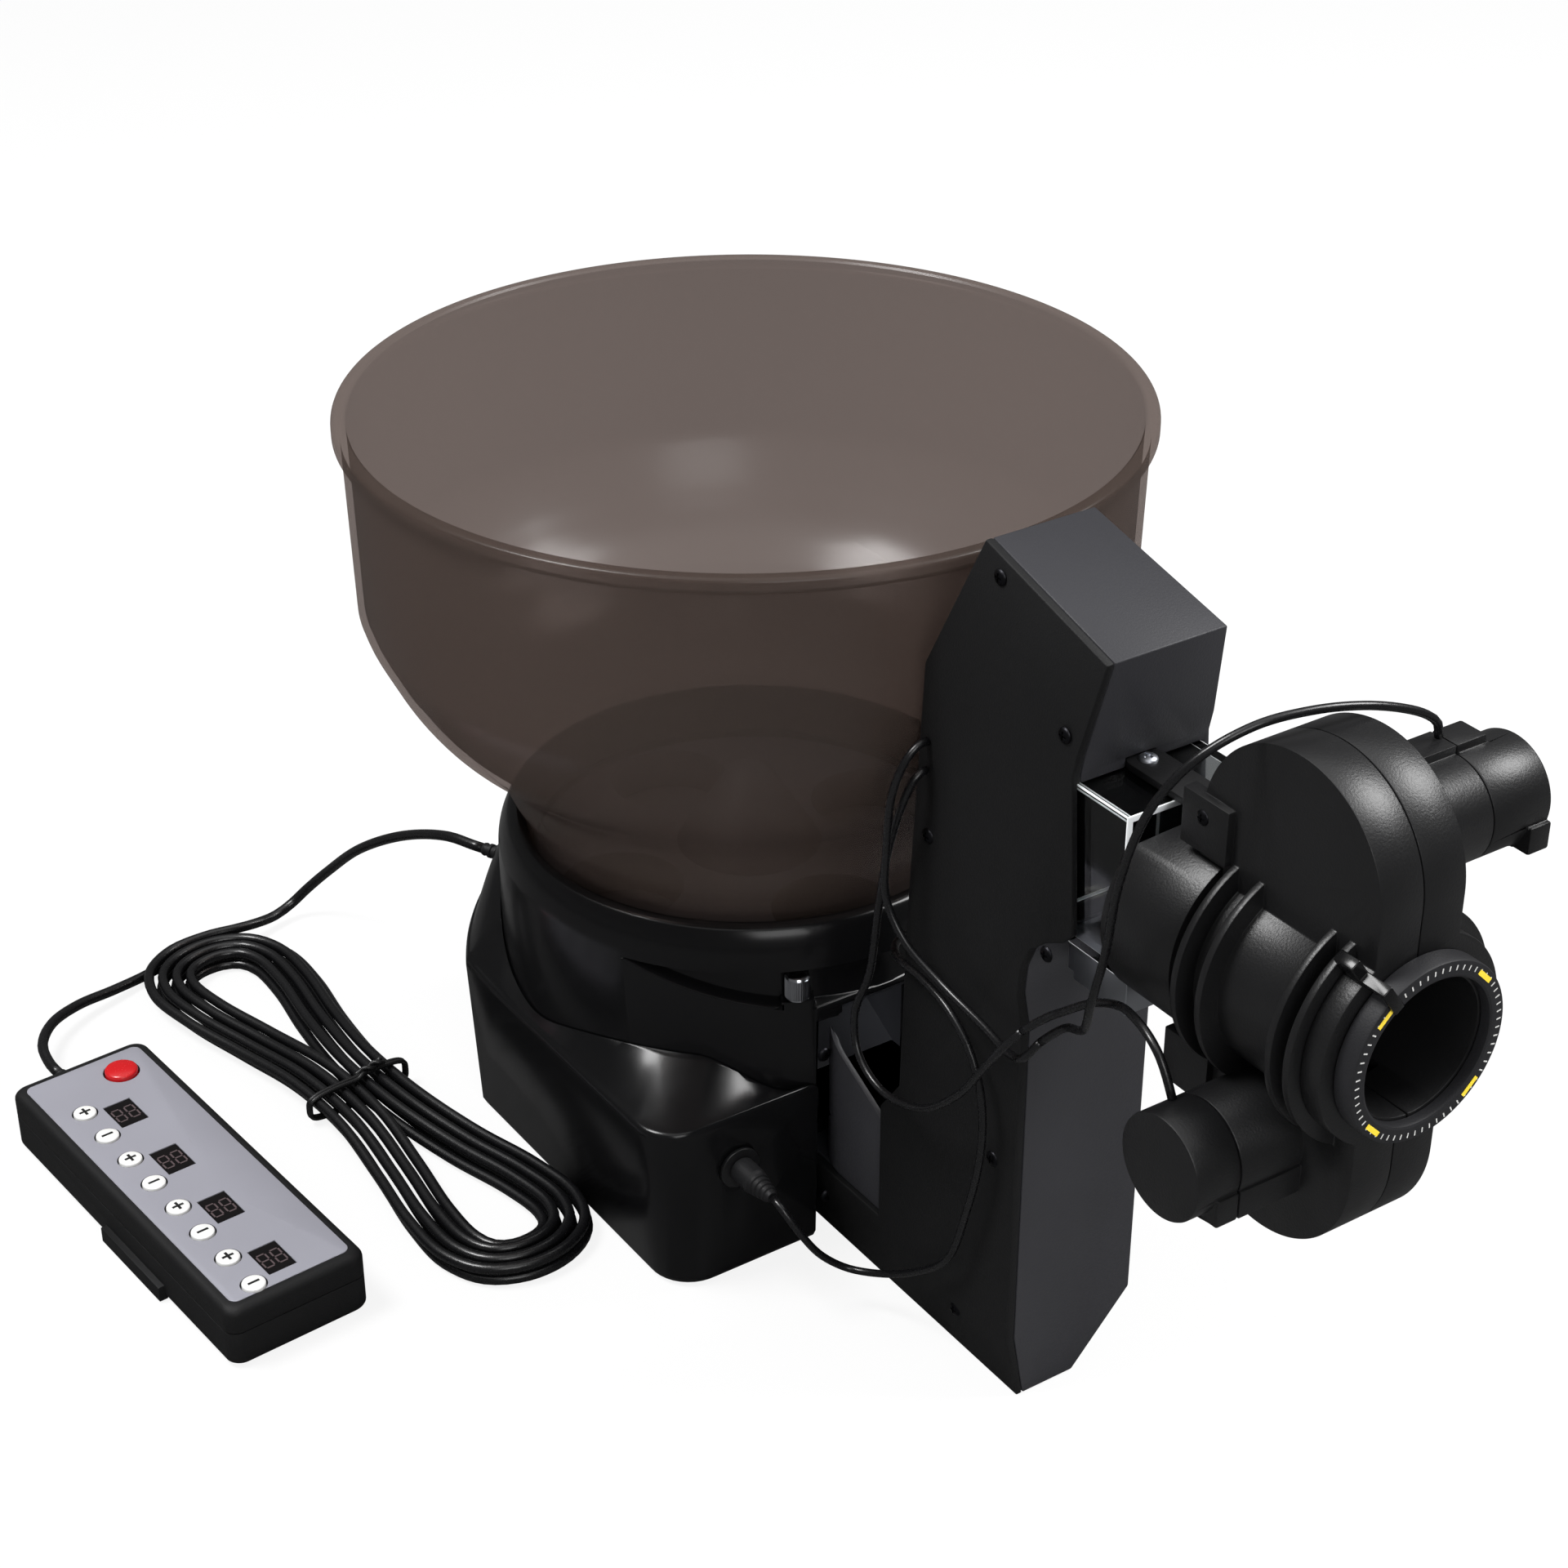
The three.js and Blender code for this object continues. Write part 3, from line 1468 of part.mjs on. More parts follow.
function upperCase() {
  const c = control;
  const low = c.split + seat;
  const outside = loft([caseRing(0, low), caseRing(0, c.height - c.edge), caseRing(c.edge, c.height)]);
  const inside = loft([
    caseRing(c.wall, low - overrun),
    caseRing(c.wall, c.height - c.edge - c.wall / 2),
    caseRing(c.edge + c.wall / 2, c.height - c.wall),
  ]);
  const past = c.height + overrun;
  const under = c.height - c.wall * 2;
  const holes = spread(key).map((y) => rodZ(key.radius + seat, under, past, key.x, y, smallSides));
  const windows = spread(windowSize).map((y) => block(
    windowSize.x - windowSize.wide / 2,
    windowSize.x + windowSize.wide / 2,
    y - windowSize.long / 2,
    y + windowSize.long / 2,
    under,
    past,
  ));
  const redHole = rodZ(redKey.radius + seat, under, past, redKey.x, c.length / 2 - redKey.inset, smallSides);
  return cut(outside, inside, ...holes, ...windows, redHole);
}

function controllerBoard() {
  const b = controlBoard;
  const low = b.top - b.thick;
  const reach = control.length / 2 - b.gap;
  const postY = control.length / 2 - b.postInset;
  const posts = [b.postX, -b.postX].flatMap((x) => [postY, -postY].map((y) =>
    rodZ(b.post, control.wall + seat, low + seat, x, y, smallSides)));
  const windowHalf = windowSize.wide / 2 - seat;
  const displays = spread(windowSize).map((y) => block(
    windowSize.x - windowHalf,
    windowSize.x + windowHalf,
    y - windowSize.long / 2 + seat,
    y + windowSize.long / 2 - seat,
    b.top - seat,
    control.height - seat,
  ));
  return join(block(-b.half, b.half, -reach, reach, low, b.top), ...posts, ...displays);
}

function button(shape, x, y) {
  const top = control.height + shape.stand;
  const rimTop = control.height - control.wall - seat;
  const rimLow = rimTop - shape.rimThick;
  return join(
    rodZ(shape.radius, rimLow, top, x, y, smallSides),
    rodZ(shape.radius + shape.rim, rimLow, rimTop, x, y, smallSides),
    rodZ(shape.stem, controlBoard.top + shape.travel + seat, rimTop, x, y, smallSides),
  );
}

function controllerRelief() {
  return join(
    reliefRod(relief.radius, -relief.deep, seat),
    reliefRod(relief.flange, -control.wall - seat - relief.flangeThick, -control.wall - seat),
    reliefRod(relief.radius, 0, relief.length, relief.tip),
  );
}

// Hank: one unbroken tube that spirals in on the floor and out again on top, drawn in at its waist.
function hankPath() {
  const h = hank;
  const turns = h.count / h.steps;
  const flank = (angle) => new THREE.Vector2(
    Math.cos(angle) * (h.waist + h.swell * Math.sin(angle) ** 2),
    h.reach * Math.sin(angle),
  );
  const points = [];
  const ways = [];
  for (let k = 0; k <= h.count; k += 1) {
    const turn = k / h.steps;
    const angle = THREE.MathUtils.degToRad(h.start) - 2 * Math.PI * turn;
    const way = flank(angle - h.nudge).sub(flank(angle + h.nudge)).normalize();
    const inward = h.pitch * Math.min(turn, turns - turn, turns / 2 - h.quarter);
    const spot = flank(angle).add(new THREE.Vector2(way.y, -way.x).multiplyScalar(inward));
    const climb = THREE.MathUtils.clamp((turn - turns / 2 + h.quarter) / (2 * h.quarter), 0, 1);
    const raised = 1 - THREE.MathUtils.smoothstep(Math.abs(spot.y), h.liftFull, h.liftEnd);
    const height = cable.radius + cable.rest + h.layer * climb + h.lift * raised;
    points.push(new THREE.Vector3(spot.x, spot.y, height));
    ways.push(new THREE.Vector3(way.x, way.y, 0));
  }
  const straight = 2 * cable.radius;
  const first = points[0].clone().addScaledVector(ways[0], -straight);
  const last = points[h.count].clone().addScaledVector(ways[h.count], straight);
  return [first, ...points, last];
}

// Prints the least gap between parts of the tube that don't follow each other.
function printLeastGap(points) {
  let least = Infinity;
  for (let i = 0; i + 1 < points.length; i += 1) {
    for (let j = i + 3; j + 1 < points.length; j += 1) {
      least = Math.min(least, segmentDistance(points[i], points[i + 1], points[j], points[j + 1]));
    }
  }
  console.log("least gap in the hank:", (least - 2 * cable.radius).toFixed(2), "mm");
}

// The least distance between two straight runs, on points along both.
function segmentDistance(a, b, c, d) {
  const run = new THREE.Line3(c, d);
  let least = Infinity;
  for (let i = 0; i <= hank.gapSteps; i += 1) {
    const spot = a.clone().lerp(b, i / hank.gapSteps);
    least = Math.min(least, run.closestPointToPoint(spot, true, new THREE.Vector3()).distanceTo(spot));
  }
  return least;
}

function hankTube(points) {
  const up = new THREE.Vector3(0, 0, 1);
  const rings = points.map((spot, i) => {
    const before = points[Math.max(i - 1, 0)];
    const after = points[Math.min(i + 1, points.length - 1)];
    const way = after.clone().sub(before).normalize();
    const side = new THREE.Vector3().crossVectors(way, up).normalize();
    const over = new THREE.Vector3().crossVectors(side, way);
    const ring = [];
    for (let k = 0; k < hank.sides; k += 1) {
      const angle = (2 * Math.PI * k) / hank.sides;
      ring.push(spot.clone()
        .addScaledVector(side, cable.radius * Math.cos(angle))
        .addScaledVector(over, cable.radius * Math.sin(angle)));
    }
    return ring;
  });
  return loft(rings);
}

function hankTie() {
  const t = tie;
  const out = t.half + t.thick;
  return cut(
    block(-out, out, -t.width / 2, t.width / 2, t.low - t.thick, t.high + t.thick),
    block(-t.half, t.half, -t.width, t.width, t.low, t.high),
  ).add(block(0, t.tail, -t.width / 2, t.width / 2, t.high, t.high + t.thick + t.width));
}

// Assembly, in the order in which it goes together.
add("base_lower_shell", baseLowerShell(), glossBlack);
add("base_bottom_plate", baseBottomPlate(), satinBlack);
padPlaces().forEach(([x, y], i) => {
  add(`foot_pad_${i + 1}`, rodZ(pad.radius, 0, pad.height, x, y, smallSides), rubber);
});
add("circuit_board", circuitBoard(), green);
add("dc_jack", jackShape(), satinBlack);
add("dc_plug", plugShape(), rubber);
add("base_relief", baseReliefShape(), rubber);
add("base_upper_shell", baseUpperShell(), glossBlack);
add("thumb_screw", screwShape(), steel);
add("feed_floor", feedFloor(), innerPlastic);
add("feed_gear_motor", feedMotor(), steel);
add("feed_rotor", feedRotor(), innerPlastic);
add("hopper_bowl", hopperBowl(), smoke);
add("feed_pot", feedPot(), charcoal);

const [ductBody, ductCover] = ductPieces();
add("duct_body", ductBody, charcoal);
add("duct_left_cover", ductCover, satinBlack);
add("lift_belt", liftBelt(), rubber);
add("lift_drum", liftDrum(lift.high), steel);
add("lift_idler", liftDrum(lift.low), steel);
add("turn_guide", turnGuide(), innerPlastic);
add("clear_box", clearBox(), clearPlastic);
add("swing_motor", swingMotor(), steel);
add("launch_socket", launchSocket(), satinBlack);

const [leftShell, rightShell] = headShells();
add("head_shell_left", leftShell, satinBlack);
add("head_shell_right", rightShell, satinBlack);
[["upper", 1], ["lower", -1]].forEach(([place, side]) => {
  add(`${place}_wheel_hub`, wheelHub(side), white);
  add(`${place}_wheel_tyre`, wheelTyre(side), rubber);
  add(`${place}_motor`, wheelMotor(side), steel);
  add(`${place}_motor_cap`, motorCap(side), satinBlack);
});
add("dial_ring", dialRing(), satinBlack);
add("dial_clip", dialClip(), glossBlack);

const controller = new THREE.Group();
controller.position.set(control.x, control.y, 0);
controller.rotation.z = THREE.MathUtils.degToRad(control.turn);
group.add(controller);
add("controller_lower_case", lowerCase(), satinBlack, controller);
add("controller_upper_case", upperCase(), greyPlastic, controller);
add("controller_board", controllerBoard(), green, controller);
spread(key).forEach((y, i) => add(`button_${i + 1}`, button(key, key.x, y), white, controller));
add("red_button", button(redKey, redKey.x, control.length / 2 - redKey.inset), red, controller);
add("controller_relief", controllerRelief(), rubber, controller);

const bundle = new THREE.Group();
bundle.position.set(hank.x, hank.y, 0);
bundle.rotation.z = THREE.MathUtils.degToRad(hank.turn);
group.add(bundle);
const loops = hankPath();
printLeastGap(loops);
add("cord_hank", hankTube(loops), rubber, bundle);
add("hank_tie", hankTie(), glossBlack, bundle);

add("controller_cord", cord(controllerRoute, cable, cordSteps.controller), rubber);
add("base_cord", cord(baseRoute, cable, cordSteps.base), rubber);
add("upper_lead_inner", cord(upperLeadInner, lead, cordSteps.upperInner), rubber);
add("upper_lead_outer", cord(upperLeadOuter, lead, cordSteps.upperOuter), rubber);
add("lower_lead_inner", cord(lowerLeadInner, lead, cordSteps.lowerInner), rubber);
add("lower_lead_outer", cord(lowerLeadOuter, lead, cordSteps.lowerOuter), rubber);
add("plug_lead", cord(plugRoute, lead, cordSteps.plug), rubber);

export default group;
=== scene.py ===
import math

import bmesh
import bpy
from mathutils import Matrix, Vector


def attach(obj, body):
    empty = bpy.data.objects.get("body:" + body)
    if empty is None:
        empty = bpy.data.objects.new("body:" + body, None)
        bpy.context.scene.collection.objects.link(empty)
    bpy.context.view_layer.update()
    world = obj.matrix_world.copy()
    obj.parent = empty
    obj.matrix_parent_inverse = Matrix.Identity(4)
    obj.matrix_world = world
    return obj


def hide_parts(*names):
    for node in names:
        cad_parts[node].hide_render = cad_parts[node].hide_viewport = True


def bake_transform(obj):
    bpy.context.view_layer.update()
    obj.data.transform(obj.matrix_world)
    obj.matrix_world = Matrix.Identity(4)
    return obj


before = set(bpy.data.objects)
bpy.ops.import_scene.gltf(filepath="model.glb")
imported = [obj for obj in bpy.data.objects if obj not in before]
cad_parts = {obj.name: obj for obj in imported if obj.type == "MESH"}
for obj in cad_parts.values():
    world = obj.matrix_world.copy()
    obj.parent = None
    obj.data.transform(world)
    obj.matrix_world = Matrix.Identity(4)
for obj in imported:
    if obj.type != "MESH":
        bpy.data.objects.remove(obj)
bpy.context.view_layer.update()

# The camera stands at the front left, a metre away and above the hopper's rim.
# Its place and lens follow from the machine's straight edges and round rims.
view_right = Vector((0.8295, -0.5585, 0))
view_forward = Vector((0.4830, 0.7174, -0.5022))
view_up = view_right.cross(view_forward)
camera_data = bpy.data.cameras.new("studio_camera")
camera_data.lens = 68.64
camera_data.sensor_width = 36
camera_data.clip_start = 0.01
camera = bpy.data.objects.new("studio_camera", camera_data)
turned = Matrix((view_right, view_up, -view_forward)).transposed().to_4x4()
camera.matrix_world = Matrix.Translation((-0.49915, -0.76363, 0.66384)) @ turned
bpy.context.scene.collection.objects.link(camera)
bpy.context.scene.camera = camera
bpy.context.scene.view_settings.view_transform = "Standard"


# The controller's cable is a round two-core lead in a glossy soft PVC sheath.
# It leaves the controller, lies on the floor as a tied hank and rises to the base's gland.
def linear(shade):
    """An sRGB hex shade as a linear colour."""
    parts = [int(shade[k:k + 2], 16) / 255 for k in (0, 2, 4)]
    return [c / 12.92 if c <= 0.04045 else ((c + 0.055) / 1.055) ** 2.4 for c in parts] + [1]


def add_node(tree, kind, settings=None, **links):
    """Adds a node. Its inputs take a value or another node's socket, by name or by place."""
    made = tree.nodes.new(kind)
    for name, value in (settings or {}).items():
        setattr(made, name, value)
    for name, value in links.items():
        by_place = name[0] == "i" and name[1:].isdigit()
        socket = made.inputs[int(name[1:]) if by_place else name.replace("_", " ")]
        if isinstance(value, bpy.types.NodeSocket):
            tree.links.new(value, socket)
        else:
            socket.default_value = value
    return made


def new_finish(name):
    """A material with its tree, its shader and its Object coordinates."""
    made = bpy.data.materials.new(name)
    made.use_nodes = True
    tree = made.node_tree
    shader = tree.nodes["Principled BSDF"]
    place = add_node(tree, "ShaderNodeTexCoord").outputs["Object"]
    return made, tree, shader, place


def grain_finish(name, shade, shade_worn, rough, rough_worn, grain, relief, specular=0.3):
    """A finish with cloudy wear over tens of millimetres and a fine grain of the given size in mm."""
    made, tree, shader, place = new_finish(name)
    clouds = add_node(tree, "ShaderNodeTexNoise", Vector=place, Scale=1000 / 45, Detail=3.0)
    fine = add_node(tree, "ShaderNodeTexNoise", Vector=place, Scale=1000 / grain, Detail=2.0)
    tint = add_node(tree, "ShaderNodeMix", {"data_type": "RGBA"}, i0=clouds.outputs["Fac"],
                    i6=linear(shade), i7=linear(shade_worn))
    tree.links.new(tint.outputs[2], shader.inputs["Base Color"])
    gloss = add_node(tree, "ShaderNodeMapRange", i0=fine.outputs["Fac"], i3=rough, i4=rough_worn)
    tree.links.new(gloss.outputs[0], shader.inputs["Roughness"])
    bump = add_node(tree, "ShaderNodeBump", Height=fine.outputs["Fac"], Strength=relief, Distance=0.0002)
    tree.links.new(bump.outputs["Normal"], shader.inputs["Normal"])
    shader.inputs["Specular IOR Level"].default_value = specular
    return made


# Soft PVC sheath, extruded: near black, with a long narrow highlight.
pvc_sheath = grain_finish("pvc_cable_sheath", "0a0a0b", "131315", 0.22, 0.34, 1.2, 0.12, 0.5)


def smooth_route(points, step):
    """A centripetal curve through the points, in steps of about the given length."""
    spots = [Vector(p) for p in points]
    spots = [spots[0] * 2 - spots[1]] + spots + [spots[-1] * 2 - spots[-2]]
    path = []
    for a, b, c, d in zip(spots, spots[1:], spots[2:], spots[3:]):
        t1 = (b - a).length ** 0.5
        t2 = t1 + (c - b).length ** 0.5
        t3 = t2 + (d - c).length ** 0.5
        count = max(1, round((c - b).length / step))
        for k in range(count):
            t = t1 + (t2 - t1) * k / count
            ab = a.lerp(b, t / t1)
            bc = b.lerp(c, (t - t1) / (t2 - t1))
            cd = c.lerp(d, (t - t2) / (t3 - t2))
            path.append(ab.lerp(bc, t / t2).lerp(bc.lerp(cd, (t - t1) / (t3 - t1)), (t - t1) / (t2 - t1)))
    return path + [spots[-2]]


def cable_piece(name, path, radius, finish, sides=14):
    """A round mesh tube along the path, closed at its ends, that doesn't twist on its way."""
    spots = []
    over = Vector((0, 0, 1))
    for k, spot in enumerate(path):
        way = (path[min(k + 1, len(path) - 1)] - path[max(k - 1, 0)]).normalized()
        across = way.cross(over).normalized()
        over = across.cross(way).normalized()
        for i in range(sides):
            turn = 2 * math.pi * i / sides
            spots.append(spot + radius * (math.cos(turn) * across + math.sin(turn) * over))
    faces = []
    for k in range(len(path) - 1):
        for i in range(sides):
            a, b = k * sides + i, k * sides + (i + 1) % sides
            faces.append((a, a + sides, b + sides, b))
    faces.append(tuple(range(sides)))
    faces.append(tuple(reversed(range(len(spots) - sides, len(spots)))))
    data = bpy.data.meshes.new(name)
    data.from_pydata(spots, [], faces)
    data.polygons.foreach_set("use_smooth", [len(face) == 4 for face in faces])
    data.materials.append(finish)
    piece = bpy.data.objects.new(name, data)
    bpy.context.scene.collection.objects.link(piece)
    return piece


cable_radius = 0.002
controller_route = [
    (-0.21456, 0.143, 0.0095), (-0.21516, 0.15068, 0.0095), (-0.213, 0.164, 0.0098), (-0.204, 0.177, 0.009),
    (-0.19, 0.186, 0.007), (-0.174, 0.1915, 0.0045), (-0.16, 0.1962, 0.0028), (-0.1525, 0.1989, 0.0023),
]
base_route = [
    (-0.118, 0.2018, 0.0072), (-0.107, 0.2022, 0.0062), (-0.097, 0.205, 0.005), (-0.089, 0.2065, 0.007),
    (-0.083, 0.204, 0.013), (-0.077, 0.194, 0.025), (-0.071, 0.175, 0.043), (-0.063, 0.15, 0.059),
    (-0.0566, 0.125, 0.069), (-0.0524, 0.1125, 0.07), (-0.0503, 0.108, 0.07),
]
hank_middle = Vector((-0.125, 0.076, 0))
hank_turn = math.radians(4.6)
hank_reach = 0.128
hank_waist = 0.0186
hank_swell = 0.05
hank_pitch = 0.0054
hank_layer = 0.0049
hank_lift = 0.0015
hank_steps = 24
hank_count = 169


def hank_flank(angle):
    across = math.cos(angle) * (hank_waist + hank_swell * math.sin(angle) ** 2)
    return Vector((across, hank_reach * math.sin(angle), 0))


def smooth_step(value, low, high):
    t = min(max((value - low) / (high - low), 0), 1)
    return t * t * (3 - 2 * t)


def hank_route():
    """The loops spiral in on the floor and out again on top of it."""
    turns = hank_count / hank_steps
    spots = []
    for k in range(hank_count + 1):
        turn = k / hank_steps
        angle = math.radians(97.5) - 2 * math.pi * turn
        way = (hank_flank(angle - 0.001) - hank_flank(angle + 0.001)).normalized()
        inward = hank_pitch * min(turn, turns - turn, turns / 2 - 0.25)
        spot = hank_flank(angle) + Vector((way.y, -way.x, 0)) * inward
        climb = min(max((turn - turns / 2 + 0.25) / 0.5, 0), 1)
        raised = 1 - smooth_step(abs(spot.y), 0.017, 0.049)
        spot.z = cable_radius + 0.0003 + hank_layer * climb + hank_lift * raised
        spots.append(Matrix.Rotation(hank_turn, 3, "Z") @ spot + hank_middle)
    return spots


cable_path = smooth_route(controller_route + hank_route() + base_route, 0.0035)
controller_cable = cable_piece("controller_cable", cable_path, cable_radius, pvc_sheath)
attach(controller_cable, "chassis")
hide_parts("controller_cord", "cord_hank", "base_cord")

# The leads to the head's two motors are thinner cables, left as free loops so that the head can move.
# Each has a stretch up to the launch socket and a stretch beyond it, made as two pieces.
lead_radius = 0.0013
upper_lead_inner = [
    (-0.0259, -0.138, 0.224), (-0.0284, -0.138, 0.2239), (-0.0318, -0.138, 0.2219),
    (-0.0346, -0.1374, 0.2176), (-0.037, -0.1354, 0.207), (-0.0375, -0.134, 0.188),
    (-0.038, -0.135, 0.171), (-0.036, -0.143, 0.158), (-0.033, -0.157, 0.15), (-0.0324, -0.178, 0.146),
    (-0.0344, -0.1935, 0.1456), (-0.0361, -0.2023, 0.1494), (-0.0353, -0.20643, 0.15325),
    (-0.03316, -0.20676, 0.15663),
]
upper_lead_outer = [
    (-0.03292, -0.20677, 0.15701), (-0.03091, -0.20709, 0.16017), (-0.0304, -0.214, 0.1648),
    (-0.033, -0.223, 0.1702), (-0.0375, -0.231, 0.1774), (-0.0415, -0.2375, 0.1905),
    (-0.043, -0.244, 0.212), (-0.044, -0.249, 0.238), (-0.0405, -0.255, 0.262), (-0.032, -0.262, 0.278),
    (-0.018, -0.268, 0.2865), (-0.002, -0.272, 0.288), (0.014, -0.275, 0.286), (0.028, -0.2765, 0.2815),
    (0.0365, -0.277, 0.2772), (0.041, -0.277, 0.2732), (0.042, -0.277, 0.2688),
]
lower_lead_inner = [
    (-0.0259, -0.138, 0.214), (-0.028, -0.138, 0.2139), (-0.0305, -0.1379, 0.212),
    (-0.0322, -0.1372, 0.2082), (-0.033, -0.1332, 0.197), (-0.033, -0.128, 0.18), (-0.0335, -0.125, 0.16),
    (-0.0345, -0.122, 0.134), (-0.037, -0.118, 0.118), (-0.0385, -0.1225, 0.105), (-0.039, -0.136, 0.099),
    (-0.0385, -0.156, 0.104), (-0.0388, -0.175, 0.1205), (-0.04, -0.188, 0.138),
    (-0.0407, -0.1966, 0.1502), (-0.03961, -0.20219, 0.15651), (-0.03721, -0.20273, 0.15969),
]
lower_lead_outer = [
    (-0.03694, -0.20277, 0.16005), (-0.03469, -0.20329, 0.16303), (-0.0336, -0.2095, 0.1672),
    (-0.0343, -0.219, 0.1754), (-0.036, -0.233, 0.1866), (-0.038, -0.246, 0.1935),
    (-0.0415, -0.257, 0.1965), (-0.0433, -0.2645, 0.196), (-0.044, -0.27, 0.1929),
    (-0.044, -0.2734, 0.188), (-0.044, -0.27621, 0.18258),
]
plug_route = [
    (-0.004, -0.1282, 0.14), (-0.004, -0.125, 0.14), (-0.0055, -0.121, 0.14), (-0.01, -0.118, 0.14),
    (-0.017, -0.1178, 0.1406), (-0.024, -0.1215, 0.1414), (-0.0285, -0.129, 0.142), (-0.0295, -0.142, 0.1425),
    (-0.0305, -0.158, 0.14), (-0.031, -0.17, 0.132), (-0.031, -0.177, 0.118), (-0.031, -0.178, 0.098),
    (-0.031, -0.172, 0.07), (-0.031, -0.163, 0.045), (-0.0315, -0.147, 0.029), (-0.034, -0.132, 0.019),
    (-0.04, -0.121, 0.0165), (-0.049, -0.118, 0.024), (-0.057, -0.117, 0.036), (-0.061, -0.111, 0.045),
    (-0.061, -0.1064, 0.046),
]


def parted(inner, outer):
    """One smooth run through both stretches of a lead, parted where they meet."""
    meeting = (Vector(inner[-1]) + Vector(outer[0])) / 2
    run = smooth_route(inner[:-2] + [meeting] + outer[2:], 0.0025)
    k = min(range(len(run)), key=lambda k: (run[k] - meeting).length)
    gap = (run[k + 1] - run[k]).normalized() * 0.0002
    return run[:k] + [run[k] - gap], [run[k] + gap] + run[k + 1:]


lead_paths = {"plug_lead": smooth_route(plug_route, 0.0025)}
lead_paths["upper_lead_inner"], lead_paths["upper_lead_outer"] = parted(upper_lead_inner, upper_lead_outer)
lead_paths["lower_lead_inner"], lead_paths["lower_lead_outer"] = parted(lower_lead_inner, lower_lead_outer)
for name, lead_path in lead_paths.items():
    lead_piece = cable_piece(name + "_cable", lead_path, lead_radius, pvc_sheath)
    if name == "plug_lead":
        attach(lead_piece, "chassis")
    else:
        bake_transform(lead_piece)
    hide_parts(name)
# The base's lower shell is a thin injection-moulded tub in glossy black ABS, open below.
# It swells to a lobe at the front left, its rim is rounded, and it is screwed to the bottom plate.
mm = 0.001


def solid(spots, faces):
    """A closed mesh given in millimetres, with its faces turned outwards."""
    data = bpy.data.meshes.new("work")
    data.from_pydata([Vector(spot) * mm for spot in spots], [], faces)
    work = bmesh.new()
    work.from_mesh(data)
    bmesh.ops.remove_doubles(work, verts=work.verts, dist=0.001 * mm)
    bmesh.ops.recalc_face_normals(work, faces=work.faces)
    work.to_mesh(data)
    work.free()
    made = bpy.data.objects.new("work", data)
    bpy.context.scene.collection.objects.link(made)
    return made


def place_on(axis, a, b, along):
    """A point by its place across an axis, in X, Y, Z order, and its place along it."""
    return {"X": (along, a, b), "Y": (a, along, b), "Z": (a, b, along)}[axis]


def turned_solid(profile, axis="Z", middle=(0, 0), sides=96):
    """A closed profile of radius and height turned about an axis through the middle."""
    count = len(profile)
    spots = []
    for k in range(sides):
        turn = 2 * math.pi * k / sides
        for radius, height in profile:
            across = (middle[0] + radius * math.cos(turn), middle[1] + radius * math.sin(turn))
            spots.append(place_on(axis, *across, height))
    faces = []
    for k in range(sides):
        here, there = k * count, (k + 1) % sides * count
        for i in range(count):
            j = (i + 1) % count
            faces.append((here + i, here + j, there + j, there + i))
    return solid(spots, faces)


def rod(axis, radius, start, end, middle=(0, 0), edge=0.4, sides=72):
    """A round rod with a small radius on both its edges."""
    low, high = min(start, end), max(start, end)
    turns = [math.radians(degrees) for degrees in (0, 30, 60, 90)]
    profile = [(0, low)]
    profile += [(radius - edge + edge * math.sin(t), low + edge - edge * math.cos(t)) for t in turns]
    profile += [(radius - edge + edge * math.cos(t), high - edge + edge * math.sin(t)) for t in turns]
    return turned_solid(profile + [(0, high)], axis, middle, sides)


def bar(axis, radius, start, end, middle=(0, 0), sides=72):
    """A plain round bar, to cut with or to build up from."""
    low, high = min(start, end), max(start, end)
    return turned_solid([(0, low), (radius, low), (radius, high), (0, high)], axis, middle, sides)


def prism(axis, outline, low, high):
    count = len(outline)
    spots = [place_on(axis, a, b, low) for a, b in outline] + [place_on(axis, a, b, high) for a, b in outline]
    faces = [tuple(range(count)), tuple(range(count, 2 * count))]
    faces += [(i, (i + 1) % count, (i + 1) % count + count, i + count) for i in range(count)]
    return solid(spots, faces)


def block(x0, x1, y0, y1, z0, z1):
    return prism("Z", [(x0, y0), (x1, y0), (x1, y1), (x0, y1)], z0, z1)


def loft(rings):
    """A closed skin through rings of equal count."""
    count = len(rings[0])
    spots = [spot for ring in rings for spot in ring]
    faces = [tuple(range(count)), tuple(range(len(spots) - count, len(spots)))]
    for r in range(len(rings) - 1):
        for i in range(count):
            j = (i + 1) % count
            faces.append((r * count + i, r * count + j, (r + 1) * count + j, (r + 1) * count + i))
    return solid(spots, faces)


def plain_mesh(piece):
    """Turns what is on the piece into its plain mesh."""
    shown = bpy.context.evaluated_depsgraph_get()
    made = bpy.data.meshes.new_from_object(piece.evaluated_get(shown))
    piece.modifiers.clear()
    piece.data = made
    return piece


def shaped(how, first, *others):
    for other in others:
        change = first.modifiers.new("change", "BOOLEAN")
        change.operation = how
        change.solver = "MANIFOLD"
        change.object = other
    plain_mesh(first)
    for other in others:
        bpy.data.objects.remove(other)
    return first


def joined(first, *others):
    return shaped("UNION", first, *others)


def cut(first, *others):
    return shaped("DIFFERENCE", first, *others)


def kept_within(first, *others):
    return shaped("INTERSECT", first, *others)


